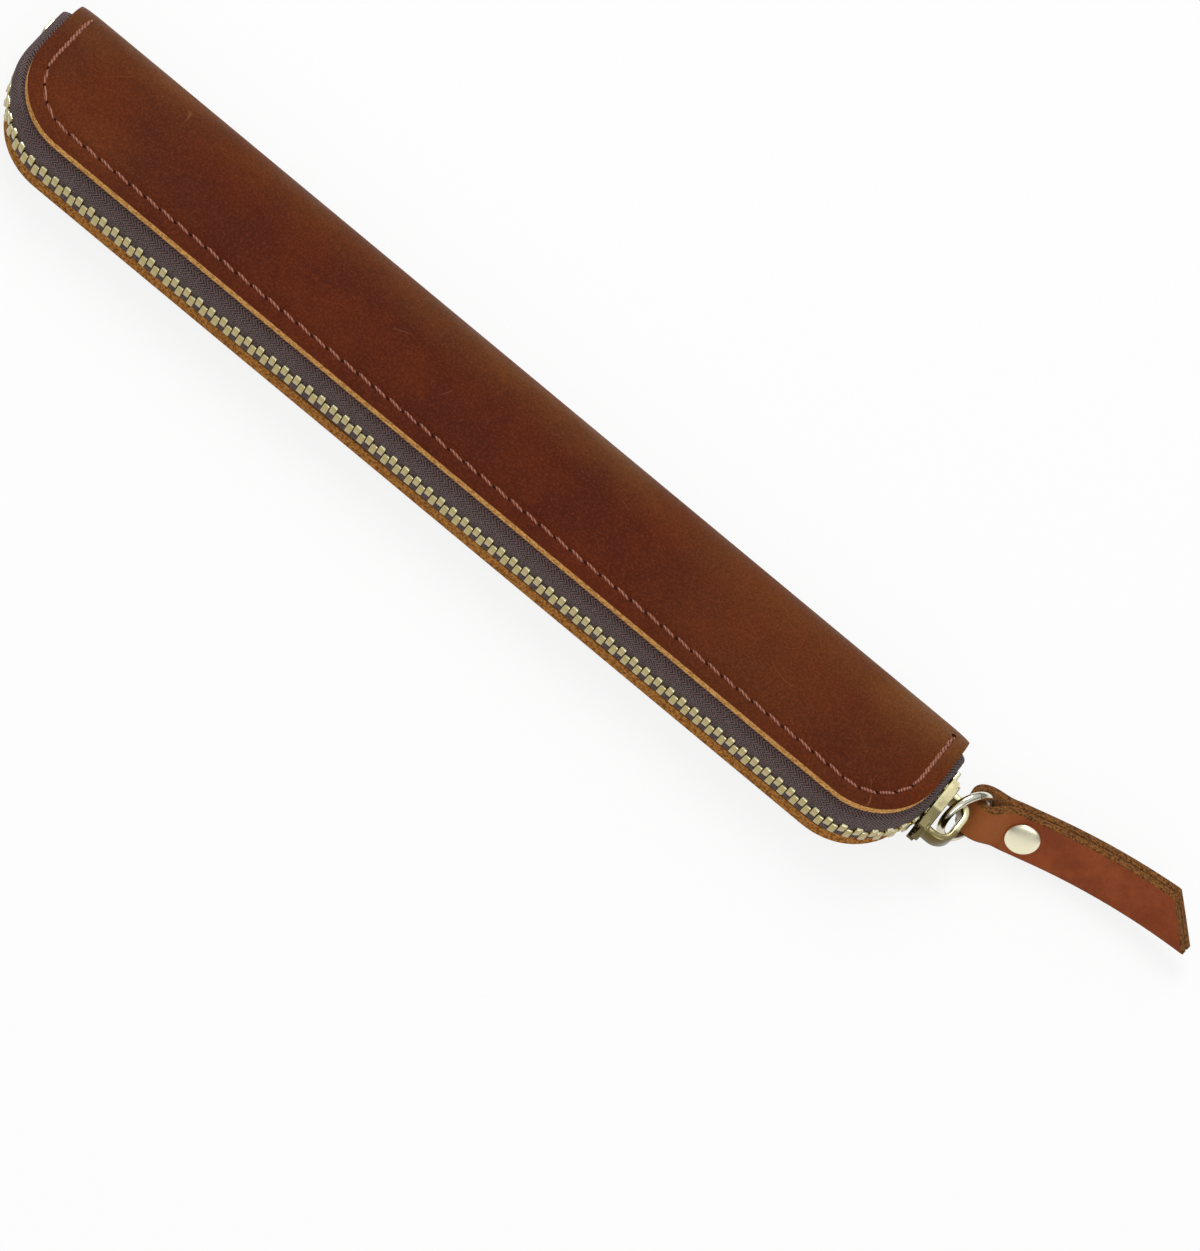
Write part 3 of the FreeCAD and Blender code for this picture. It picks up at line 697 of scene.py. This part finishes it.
zip_tape = tape_fabric()
for half, side in (("front", 1), ("rear", -1)):
    tape = sheet_grid(half + "_zip_tape", tape_columns, tape_rows,
                      lambda along, across, way=side: tape_point(along, across, way))
    for corner in tape.data.uv_layers[0].data:
        corner.uv = (corner.uv[0] * (chain_length + 2 * tape_end_run), corner.uv[1] * tape_width)
    middle = tape.data.polygons[tape_columns * (tape_rows - 2) + tape_columns // 2]
    if middle.normal.z * side < 0:
        tape.data.flip_normals()
    tape.data.materials.append(zip_tape)
    apply_modifier(tape, "SOLIDIFY", thickness=tape_thickness, offset=-1.0)
    smooth(tape, 60.0)
    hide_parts(half + "_tape")
    join_half(tape, half)


# Zip teeth
# Stamped brass teeth clamped over the tapes' edges, two rows set half a pitch apart so that they lock.
# Inside the slider's mouth the last few stand open.
tooth_pitch = 0.0024
tooth_width = 0.00108
tooth_depth = 0.0016
tooth_root = 0.0019
tooth_overlap = 0.0006
tooth_head = 0.86
tooth_softness = 0.00013
last_tooth_back = 0.0012
chain_end_run = 0.004
open_teeth = 3
open_spread = 0.00056


def metal(name, tint, shade, roughness, shade_and_tarnish_share, tail=None):
    """Plated metal: tint on level faces, painted shade on steep sides and past a given place along Y, and
    darker cloudy patches.
    """
    material, tree, shader, place = new_material(name, roughness)
    shader.inputs["Metallic"].default_value = 1.0
    cloud = cloud_noise(tree, place, scale=420.0, detail=4.0, roughness=0.6)
    fine = cloud_noise(tree, place, scale=5200.0, detail=2.0)
    facing = node(tree, "TexCoord").outputs["Normal"]
    steep = math_node(tree, "ABSOLUTE", node(tree, "SeparateXYZ", Vector=facing).outputs[2])
    # Steep sides get painted shade.
    side = ramp(tree, steep, 0.75, 0.25)
    patches = math_node(tree, "MULTIPLY", ramp(tree, cloud, 0.52, 0.78), 0.4)
    shade_and_tarnish = math_node(tree, "MAXIMUM", side, patches)
    shade_and_tarnish = math_node(tree, "MULTIPLY", shade_and_tarnish, shade_and_tarnish_share)
    # Painted shade past a given place along Y.
    if tail:
        bright_y, shaded_y, share = tail
        across = node(tree, "SeparateXYZ", Vector=place).outputs[1]
        tail_shade_share = math_node(tree, "MULTIPLY", ramp(tree, across, bright_y, shaded_y), share)
        shade_and_tarnish = math_node(tree, "MAXIMUM", shade_and_tarnish, tail_shade_share)
    tree.links.new(mixed(tree, shade_and_tarnish, tint, shade), shader.inputs["Base Color"])
    rough = math_node(tree, "MULTIPLY_ADD", cloud, 0.2, roughness - 0.08)
    tree.links.new(rough, shader.inputs["Roughness"])
    bump(tree, shader, fine, strength=0.1, distance=0.00005)
    return material


# Teeth and stops: painted shade on steep sides, and darker patches.
zip_brass = metal("zip_brass", colour(254, 247, 206), colour(164, 146, 86), roughness=0.2, shade_and_tarnish_share=0.9)
half_pitch = tooth_pitch / 2
last_tooth = chain_length - last_tooth_back
half_steps = int((last_tooth + chain_end_run) / half_pitch)
tooth_places = {"front": [], "rear": []}
for step in range(-open_teeth, half_steps + 1):
    travel = last_tooth - step * half_pitch
    spread = open_spread * (max(-step, 0) / open_teeth) ** 2
    half = "front" if step % 2 == 0 else "rear"
    side = 1 if half == "front" else -1
    spot, outward = rim(chain_offset, travel)
    spot.z = mid_height + side * spread + wave_height(travel)
    tooth_places[half].append(axes_matrix(spot, outward, Vector((0, 0, side))))
for half, places in tooth_places.items():
    bpy.ops.object.select_all(action="DESELECT")
    bpy.ops.mesh.primitive_cube_add(size=1)
    tooth = bpy.context.object
    for vertex in tooth.data.vertices:
        tip = vertex.co.z < 0
        share = tooth_head if tip else 1.0
        vertex.co.x *= tooth_depth * share
        vertex.co.y *= tooth_width
        vertex.co.z = -tooth_overlap if tip else tooth_root
    tooth.data.materials.append(zip_brass)
    apply_modifier(tooth, "BEVEL", width=tooth_softness, segments=2, limit_method="ANGLE")
    row = repeated(tooth, half + "_zip_teeth", places)
    smooth(row, 50.0)
    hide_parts(half + "_teeth")
    join_half(row, half)


# Zip stops, slider and bail
# A clip on each tape by the slider, a block over both tapes at the far end, and a cast slider whose bail is
# bridged over its outer plate to hold the ring.
weld = 0.000002
casting_softness = 0.0003
plate_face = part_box("slider_body")[1].x
plate_half = (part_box("slider_body")[1].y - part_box("slider_body")[0].y) / 2
foot_reach = 0.0026
stop_softness = 0.00018
flat_angle = math.radians(2.0)
sharp_angle = 35.0
# Where the slider's painted shade starts and where it is full along Y, and its share.
tail_shade = (corner_y - 0.0004, corner_y - 0.0012, 0.78)


def merge_close(obj):
    """Merge vertices that lie together."""
    only(obj)
    bpy.ops.object.mode_set(mode="EDIT")
    bpy.ops.mesh.select_all(action="SELECT")
    bpy.ops.mesh.remove_doubles(threshold=weld)
    bpy.ops.object.mode_set(mode="OBJECT")


def soften_edges(obj, width, segments, least_angle, skin=0, share=None):
    """Round off the sharp edges; share(middle) gives how much of the width each one gets."""
    shape = bmesh.new()
    shape.from_mesh(obj.data)
    weight = shape.edges.layers.float.new("bevel_weight_edge")
    for edge in shape.edges:
        if edge.calc_face_angle(0) > math.radians(least_angle):
            middle = (edge.verts[0].co + edge.verts[1].co) / 2
            edge[weight] = share(middle) if share else 1.0
    shape.to_mesh(obj.data)
    shape.free()
    apply_modifier(obj, "BEVEL", width=width, segments=segments, limit_method="WEIGHT", material=skin)
    merge_close(obj)


def dressed(node_name, piece_name, material, softness, share=None):
    """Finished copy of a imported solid: its flat faces made whole again, its edges rounded."""
    mesh = frame["nodes"][node_name].data.copy()
    mesh.name = piece_name
    mesh.materials.clear()
    mesh.materials.append(material)
    piece = added(piece_name, mesh)
    only(piece)
    bpy.ops.object.mode_set(mode="EDIT")
    bpy.ops.mesh.select_all(action="SELECT")
    bpy.ops.mesh.remove_doubles(threshold=weld)
    bpy.ops.mesh.dissolve_limited(angle_limit=flat_angle)
    bpy.ops.mesh.normals_make_consistent(inside=False)
    bpy.ops.object.mode_set(mode="OBJECT")
    if softness:
        soften_edges(piece, softness, segments=3, least_angle=sharp_angle, share=share)
    smooth(piece, sharp_angle)
    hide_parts(node_name)
    return piece


def on_plate_rim(middle):
    """Share 1 for the edges round the outer plate, away from the pockets for the bail's feet."""
    past_feet = abs(middle.y - corner_y) > plate_half - casting_softness
    beside_feet = abs(middle.z - mid_height) > foot_reach
    on_face = middle.x > plate_face - casting_softness / 10
    return 1.0 if on_face and (past_feet or beside_feet) else 0.0


# Slider casting and bail: strong painted shade on steep sides and past the corner along Y.
slider_brass = metal("slider_brass", colour(255, 245, 194), colour(94, 78, 24),
                     roughness=0.22, shade_and_tarnish_share=1.0, tail=tail_shade)
for half in ("front", "rear"):
    stop = dressed(half + "_top_stop", half + "_stop_clip", zip_brass, stop_softness)
    join_half(stop, half)
far_stop = dressed("bottom_stop", "far_stop_block", zip_brass, stop_softness)
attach(far_stop, "rear_half")
for node_name, piece_name, share in (("slider_body", "slider_casting", on_plate_rim),
                                     ("slider_bail", "slider_bridge", None)):
    casting = dressed(node_name, piece_name, slider_brass, casting_softness, share)
    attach(casting, "slider")


# Jump ring
# A turn of round polished wire that links the bail to the strap's fold.
# It is bent cold, and its ends are butted together at a fine slit.
ring_wire = 0.0014
ring_slit = 0.0001
ring_steps = 72
wire_sides = 14
joint_of = {joint["name"]: joint for joint in frame["joints"]}
ring_near = Vector(joint_of["ring_swing"]["pos_m"])
ring_far = Vector(joint_of["strap_swing"]["pos_m"])
swing_axis = Vector(joint_of["strap_swing"]["axis"])
ring_radius = (ring_far - ring_near).length / 2


def spun(name, outline, steps, angle, merge):
    """Outline of points turned about Z, as on a lathe."""
    mesh = bpy.data.meshes.new(name)
    mesh.from_pydata(outline, [(i, i + 1) for i in range(len(outline) - 1)], [])
    made = added(name, mesh)
    only(made)
    bpy.ops.object.mode_set(mode="EDIT")
    bpy.ops.mesh.select_all(action="SELECT")
    bpy.ops.mesh.spin(steps=steps, angle=angle, center=(0, 0, 0), axis=(0, 0, 1))
    bpy.ops.mesh.select_all(action="SELECT")
    bpy.ops.mesh.remove_doubles(threshold=merge)
    bpy.ops.mesh.fill_holes(sides=0)
    bpy.ops.mesh.normals_make_consistent(inside=False)
    bpy.ops.object.mode_set(mode="OBJECT")
    return made


# Ring: painted shade on steep sides, and darker patches.
ring_metal = metal("ring_metal", colour(232, 228, 210), colour(186, 176, 144), roughness=0.16, shade_and_tarnish_share=0.5)
wire_outline = []
for corner in range(wire_sides + 1):
    angle = 2 * math.pi * corner / wire_sides
    wire_outline.append((ring_radius + ring_wire / 2 * math.cos(angle), 0, ring_wire / 2 * math.sin(angle)))
full_turn = 2 * math.pi - ring_slit / ring_radius
ring = spun("jump_ring", wire_outline, ring_steps, full_turn, ring_slit / 10)
ring.data.materials.append(ring_metal)
ring_ahead = (ring_far - ring_near).normalized()
ring_flat = Matrix((swing_axis, ring_ahead, swing_axis.cross(ring_ahead))).transposed().to_4x4()
ring.data.transform(Matrix.Translation((ring_near + ring_far) / 2) @ ring_flat)
smooth(ring, 60.0)
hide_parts("pull_ring")
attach(ring, "pull_ring")


# Pull strap
# A strip of the same hide, folded round the ring's far side, riveted to itself and cut off at a slant.
# Its two layers lie almost together behind the rivet and bow a little towards the floor.
strap_yaw = math.radians(17.0)
strap_seat = 0.00045
strap_width = 0.008
strap_fold_width = 0.0064
strap_layer = 0.0016
strap_slit = 0.00015
strap_edge_softness = 0.00022
fold_radius = 0.00335
fold_centre = -0.0006
taper_end = 0.0036
bend_start = 0.0096
bend_radius = 0.075
widening_run = (bend_start - fold_centre) / 2.1
strap_tip = 0.03805
tip_slant = 0.006
strap_rivet_x = 0.00645
fold_wear_reach = (0.0082, 0.0035)
fold_wear_share = 0.42
strap_columns = 150
strap_rows = 16
strap_lay = strap_slit / 2 + strap_layer
strap_x = Vector((math.cos(strap_yaw), math.sin(strap_yaw), 0))
strap_y = swing_axis.cross(strap_x).normalized()
strap_turn = Matrix((strap_x, strap_y, swing_axis)).transposed().to_4x4()
strap_place = Matrix.Translation(ring_far - strap_y * strap_seat) @ strap_turn


def strap_width_at(station):
    """Width that grows from the fold to its full measure before the rivet."""
    share = eased((station - fold_centre) / widening_run)
    return strap_fold_width + (strap_width - strap_fold_width) * share


def strap_surface(station, way):
    """Point on one outer face at a station along the strap, at mid width; way is -1 on the seen face."""
    if station < taper_end:
        share = max((station - fold_centre) / (taper_end - fold_centre), 0)
        reach = strap_lay + (fold_radius - strap_lay) * (0.5 + 0.5 * math.cos(math.pi * share))
    else:
        reach = strap_lay
    bend = max(station - bend_start, 0) / bend_radius
    along = min(station, bend_start) + bend_radius * math.sin(bend)
    down = -bend_radius * (1 - math.cos(bend))
    return Vector((along, down, 0)) + Vector((math.sin(bend), math.cos(bend), 0)) * way * reach


def strap_point(along, across):
    """From the seen face's tip, round the fold, to the hidden face's tip."""
    share_across = across - 0.5
    run = strap_tip - fold_centre - tip_slant * across
    half_turn = fold_radius * math.pi
    whole = 2 * run + half_turn
    gone = along * whole
    if gone < run:
        station = fold_centre + run - gone
        point = strap_surface(station, -1)
    elif gone < run + half_turn:
        angle = (gone - run) / fold_radius
        station = fold_centre
        point = Vector((fold_centre - fold_radius * math.sin(angle), -fold_radius * math.cos(angle), 0))
    else:
        station = fold_centre + gone - run - half_turn
        point = strap_surface(station, 1)
    point.z = share_across * strap_width_at(station)
    return strap_place @ point


def strap_skin(name, dark, warm, rub, worn_at=None):
    """Smooth waxed hide with fine pores, clouded, lightly scratched and paler round a worn place."""
    material, tree, shader, place = new_material(name, roughness=0.5)
    mottle = place_group(tree, leather_mottle, place, Scale=160.0)
    grain = place_group(tree, leather_grain, place, Scale=2600.0)
    base = mixed(tree, mottle["Clouds"], dark, warm)
    base = tinted(tree, base, mottle["Scratches"], 0.35, rub)
    if worn_at:
        paled = ramp(tree, distance_from(tree, place, worn_at), *fold_wear_reach)
        base = tinted(tree, base, paled, fold_wear_share, colour(182, 116, 58))
    # Painted shade in the grain's grooves.
    base = tinted(tree, base, grain["Pit_shade"], 0.16, colour(72, 30, 16))
    tree.links.new(base, shader.inputs["Base Color"])
    shader.inputs["Specular IOR Level"].default_value = 0.08
    bump(tree, shader, grain["Height"], strength=0.3, distance=0.00012)
    return material


fold_place = strap_place @ Vector((fold_centre, 0, 0))
strap_leather = strap_skin("strap_leather", colour(134, 64, 34), colour(154, 78, 43), colour(176, 110, 66),
                           tuple(fold_place))
strap_edge = raw_edge("strap_raw_edge", colour(52, 28, 11), colour(142, 92, 44))
strap = sheet_grid("strap_leather_pull", strap_columns, strap_rows, strap_point)
seen_face = strap_turn.to_3x3() @ Vector((0, -1, 0))
if strap.data.polygons[strap_columns // 4].normal.dot(seen_face) < 0:
    strap.data.flip_normals()
thicken(strap, strap_layer, (strap_leather, flesh_side, strap_edge))
soften_edges(strap, strap_edge_softness, segments=2, least_angle=50.0, skin=2)
smooth(strap)
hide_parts("pull_strap")
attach(strap, "pull_strap")


# Rivets
# Double-cap rivets: a domed cap with a thin turned-down rim, pressed on a post. One holds the strap's fold,
# seen with a cap on each face, and one holds the tab inside.
strap_rivet_size = 0.0057
tab_rivet_size = 0.0054
rivet_rim = 0.00035
rivet_crown = 0.00085
rivet_steps = 40
dome_points = 9
flush_head_softness = 0.0001
tab_rivet_place = Vector((-0.0734, 0.0004, 0.003))
# Rivets: a little painted shade on steep sides, and darker patches.
rivet_metal = metal("rivet_metal", colour(254, 248, 218), colour(206, 194, 158), roughness=0.3, shade_and_tarnish_share=0.3)


def rivet_cap(name, diameter, place):
    """Cap with a rounded rim that stands on its place's XY plane."""
    radius = diameter / 2
    outline = [(0, 0, 0), (radius - rivet_rim / 3, 0, 0), (radius, 0, rivet_rim / 3), (radius, 0, rivet_rim)]
    for step in range(1, dome_points + 1):
        angle = math.pi / 2 * step / dome_points
        rise = (rivet_crown - rivet_rim) * math.sin(angle)
        outline.append((radius * math.cos(angle), 0, rivet_rim + rise))
    cap = spun(name, outline, rivet_steps, 2 * math.pi, weld)
    cap.data.materials.append(rivet_metal)
    cap.data.transform(place)
    smooth(cap, 50.0)
    return cap


for piece_name, node_name, way in (("strap_rivet_dome", "strap_rivet_cap", -1),
                                   ("strap_rivet_back", "strap_rivet_post", 1)):
    on_face = Matrix.Translation((strap_rivet_x, way * strap_lay, 0))
    outwards = Matrix.Rotation(-way * math.pi / 2, 4, "X")
    strap_cap = rivet_cap(piece_name, strap_rivet_size, strap_place @ on_face @ outwards)
    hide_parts(node_name)
    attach(strap_cap, "pull_strap")
tab_cap = rivet_cap("tab_rivet_dome", tab_rivet_size, Matrix.Translation(tab_rivet_place))
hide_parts("tab_rivet_cap")
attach(tab_cap, "rear_half")
tab_post = dressed("tab_rivet_post", "tab_rivet_flush_head", rivet_metal, flush_head_softness)
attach(tab_post, "rear_half")


# Elastic loop
# A band of ribbed elastic, black with a red middle, bent round into a loop.
# It stands in the middle of the rear half and is sewn to it with the seams' thread.
loop_half_length = 0.00635
loop_outer = 0.0058
loop_thickness = 0.0008
loop_centre = Vector((0, -0.0004, 0.0074))
loop_columns = 96
loop_rows = 30
loop_ribs = 20
rib_height = 0.00007
red_reach = (loop_half_length * 0.36, loop_half_length * 0.32)


def loop_point(along, across):
    """Round the bore, with ribs that run round the band."""
    angle = -math.pi / 2 + 2 * math.pi * along
    reach = loop_outer - rib_height * (0.5 + 0.5 * math.cos(2 * math.pi * loop_ribs * across))
    x = (across * 2 - 1) * loop_half_length
    return loop_centre + Vector((x, reach * math.cos(angle), reach * math.sin(angle)))


def elastic():
    """Ribbed weave: black edges and a red middle third, with short diagonal threads."""
    material, tree, shader, place = new_material("loop_elastic", roughness=0.8)
    axes = node(tree, "SeparateXYZ", Vector=place).outputs
    off_middle = math_node(tree, "ABSOLUTE", axes[0])
    red = ramp(tree, off_middle, *red_reach)
    threads = slanting_bands(tree, place, scale=420.0, distortion=1.5)
    black = mixed(tree, threads, colour(14, 13, 15), colour(40, 38, 42))
    scarlet = mixed(tree, threads, colour(110, 14, 24), colour(176, 34, 44))
    tree.links.new(mixed(tree, red, black, scarlet), shader.inputs["Base Color"])
    shader.inputs["Sheen Weight"].default_value = 0.2
    bump(tree, shader, threads, strength=0.5, distance=0.0001)
    return material


loop = sheet_grid("elastic_loop", loop_columns, loop_rows, loop_point)
merge_close(loop)
side_face = loop.data.polygons[loop_columns // 4]
if side_face.normal.dot(side_face.center - loop_centre) < 0:
    loop.data.flip_normals()
loop.data.materials.append(elastic())
apply_modifier(loop, "SOLIDIFY", thickness=loop_thickness, offset=-1.0)
smooth(loop, 50.0)
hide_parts("pen_loop")
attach(loop, "rear_half")
loop_thread = dressed("loop_stitches", "loop_thread", seam_thread, 0.0)
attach(loop_thread, "rear_half")


# End tab
# A tongue of smooth leather with a round end, cut from a thinner hide than the covers.
# It is sewn across its far end and riveted to the rear half.
tab_start = -0.0884
tab_end = -0.0664
tab_middle_y = 0.0004
tab_half_width = 0.004
tab_bottom = 0.0016
tab_top = 0.003
tab_bunching = 1.6
tab_tip = 0.0001
tab_columns = 44
tab_rows = 16


def tab_point(along, across):
    """Point of the tongue's top face; the columns bunch up towards its round end."""
    x = tab_start + (tab_end - tab_start) * (1 - (1 - along) ** tab_bunching)
    past = max(x - (tab_end - tab_half_width), 0)
    half = math.sqrt(max(tab_half_width ** 2 - past ** 2, tab_tip ** 2))
    y = tab_middle_y + half * (2 * across - 1)
    return Vector((x, y, tab_top))


tab_leather = strap_skin("tab_leather", colour(112, 46, 26), colour(134, 60, 36), colour(158, 92, 60))
tab = sheet_grid("leather_tab", tab_columns, tab_rows, tab_point)
if tab.data.polygons[tab_columns // 2].normal.z < 0:
    tab.data.flip_normals()
thicken(tab, tab_top - tab_bottom, (tab_leather, flesh_side, strap_edge))
smooth(tab)
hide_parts("end_tab")
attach(tab, "rear_half")
tab_thread = dressed("tab_stitches", "tab_thread", seam_thread, 0.0)
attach(tab_thread, "rear_half")


# Stage
# A plain pale floor under soft studio light, seen from the closed view's angle: from above the zip side,
# turned so that the sleeve runs down to the right.
photo_width = 1200
photo_height = 1251
view_elevation = math.radians(63.0)
view_roll = math.radians(39.71)
view_distance = 1.0
focal_pixels = 6470.0
aim_pixel = (527.5, 373.5)
aim_point = Vector((0, spine_y + 0.00677, mid_height + 0.00345))
sensor_width = 36.0
floor_size = 6.0
floor_gap = 0.0001
white_share = 0.84
overhead_light = 0.68
horizon_light = 0.18
sky_rise = (0.2, 0.8)


def floor_material():
    """White paper: its own white for the camera and in metal, over a plain surface that takes the shadow."""
    material, tree, shader, _ = new_material("white_floor", roughness=0.9)
    shader.inputs["Base Color"].default_value = colour(240, 240, 240)
    shader.inputs["Specular IOR Level"].default_value = 0.1
    rays = node(tree, "LightPath").outputs
    seen = math_node(tree, "MAXIMUM", rays["Is Camera Ray"], rays["Is Glossy Ray"])
    seen = math_node(tree, "MAXIMUM", seen, rays["Is Transmission Ray"])
    share = math_node(tree, "MULTIPLY", seen, white_share)
    glow = node(tree, "Emission", Strength=1.0)
    blend = node(tree, "MixShader", at0=share, at1=shader.outputs[0], at2=glow.outputs[0])
    tree.links.new(blend.outputs[0], tree.nodes["Material Output"].inputs["Surface"])
    return material


bpy.ops.object.select_all(action="DESELECT")
bpy.ops.mesh.primitive_plane_add(size=floor_size, location=(0, 0, -floor_gap))
floor = bpy.context.object
floor.name = "floor"
floor.data.materials.append(floor_material())


def add_lamp(name, place, size, power):
    """Round soft lamp that faces the sleeve."""
    light = bpy.data.lights.new(name, "AREA")
    light.shape = "DISK"
    light.size = size
    light.energy = power
    lamp = added(name, light)
    lamp.location = place
    lamp.rotation_euler = (-lamp.location).to_track_quat("-Z", "Y").to_euler()


add_lamp("key_lamp", place=(-0.35, 0.55, 0.95), size=0.7, power=6.5)
add_lamp("fill_lamp", place=(0.6, -0.8, 0.8), size=0.9, power=3.5)
world = bpy.data.worlds.new("studio")
world.use_nodes = True
sky = world.node_tree
sky_height = node(sky, "SeparateXYZ", Vector=node(sky, "TexCoord").outputs["Generated"]).outputs[2]
sky_share = ramp(sky, sky_height, *sky_rise)
sky_light = math_node(sky, "MULTIPLY_ADD", sky_share, overhead_light - horizon_light, horizon_light)
sky.links.new(sky_light, sky.nodes["Background"].inputs["Strength"])
sky.nodes["Background"].inputs["Color"].default_value = (1.0, 1.0, 1.0, 1.0)
bpy.context.scene.world = world

towards = Vector((0, -math.cos(view_elevation), math.sin(view_elevation)))
level_right = Vector((1, 0, 0))
level_up = Vector((0, math.sin(view_elevation), math.cos(view_elevation)))
view_right = level_right * math.cos(view_roll) + level_up * math.sin(view_roll)
view_up = level_up * math.cos(view_roll) - level_right * math.sin(view_roll)
pixel = view_distance / focal_pixels
shift_right = (photo_width / 2 - aim_pixel[0]) * pixel
shift_down = (photo_height / 2 - aim_pixel[1]) * pixel
camera_data = bpy.data.cameras.new("camera")
camera_data.sensor_fit = "HORIZONTAL"
camera_data.sensor_width = sensor_width
camera_data.lens = focal_pixels * sensor_width / photo_width
camera = added("camera", camera_data)
turn = Matrix((view_right, view_up, towards)).transposed().to_4x4()
spot = aim_point + towards * view_distance + view_right * shift_right - view_up * shift_down
camera.matrix_world = Matrix.Translation(spot) @ turn
bpy.context.scene.camera = camera
bpy.context.scene.view_settings.view_transform = "Standard"
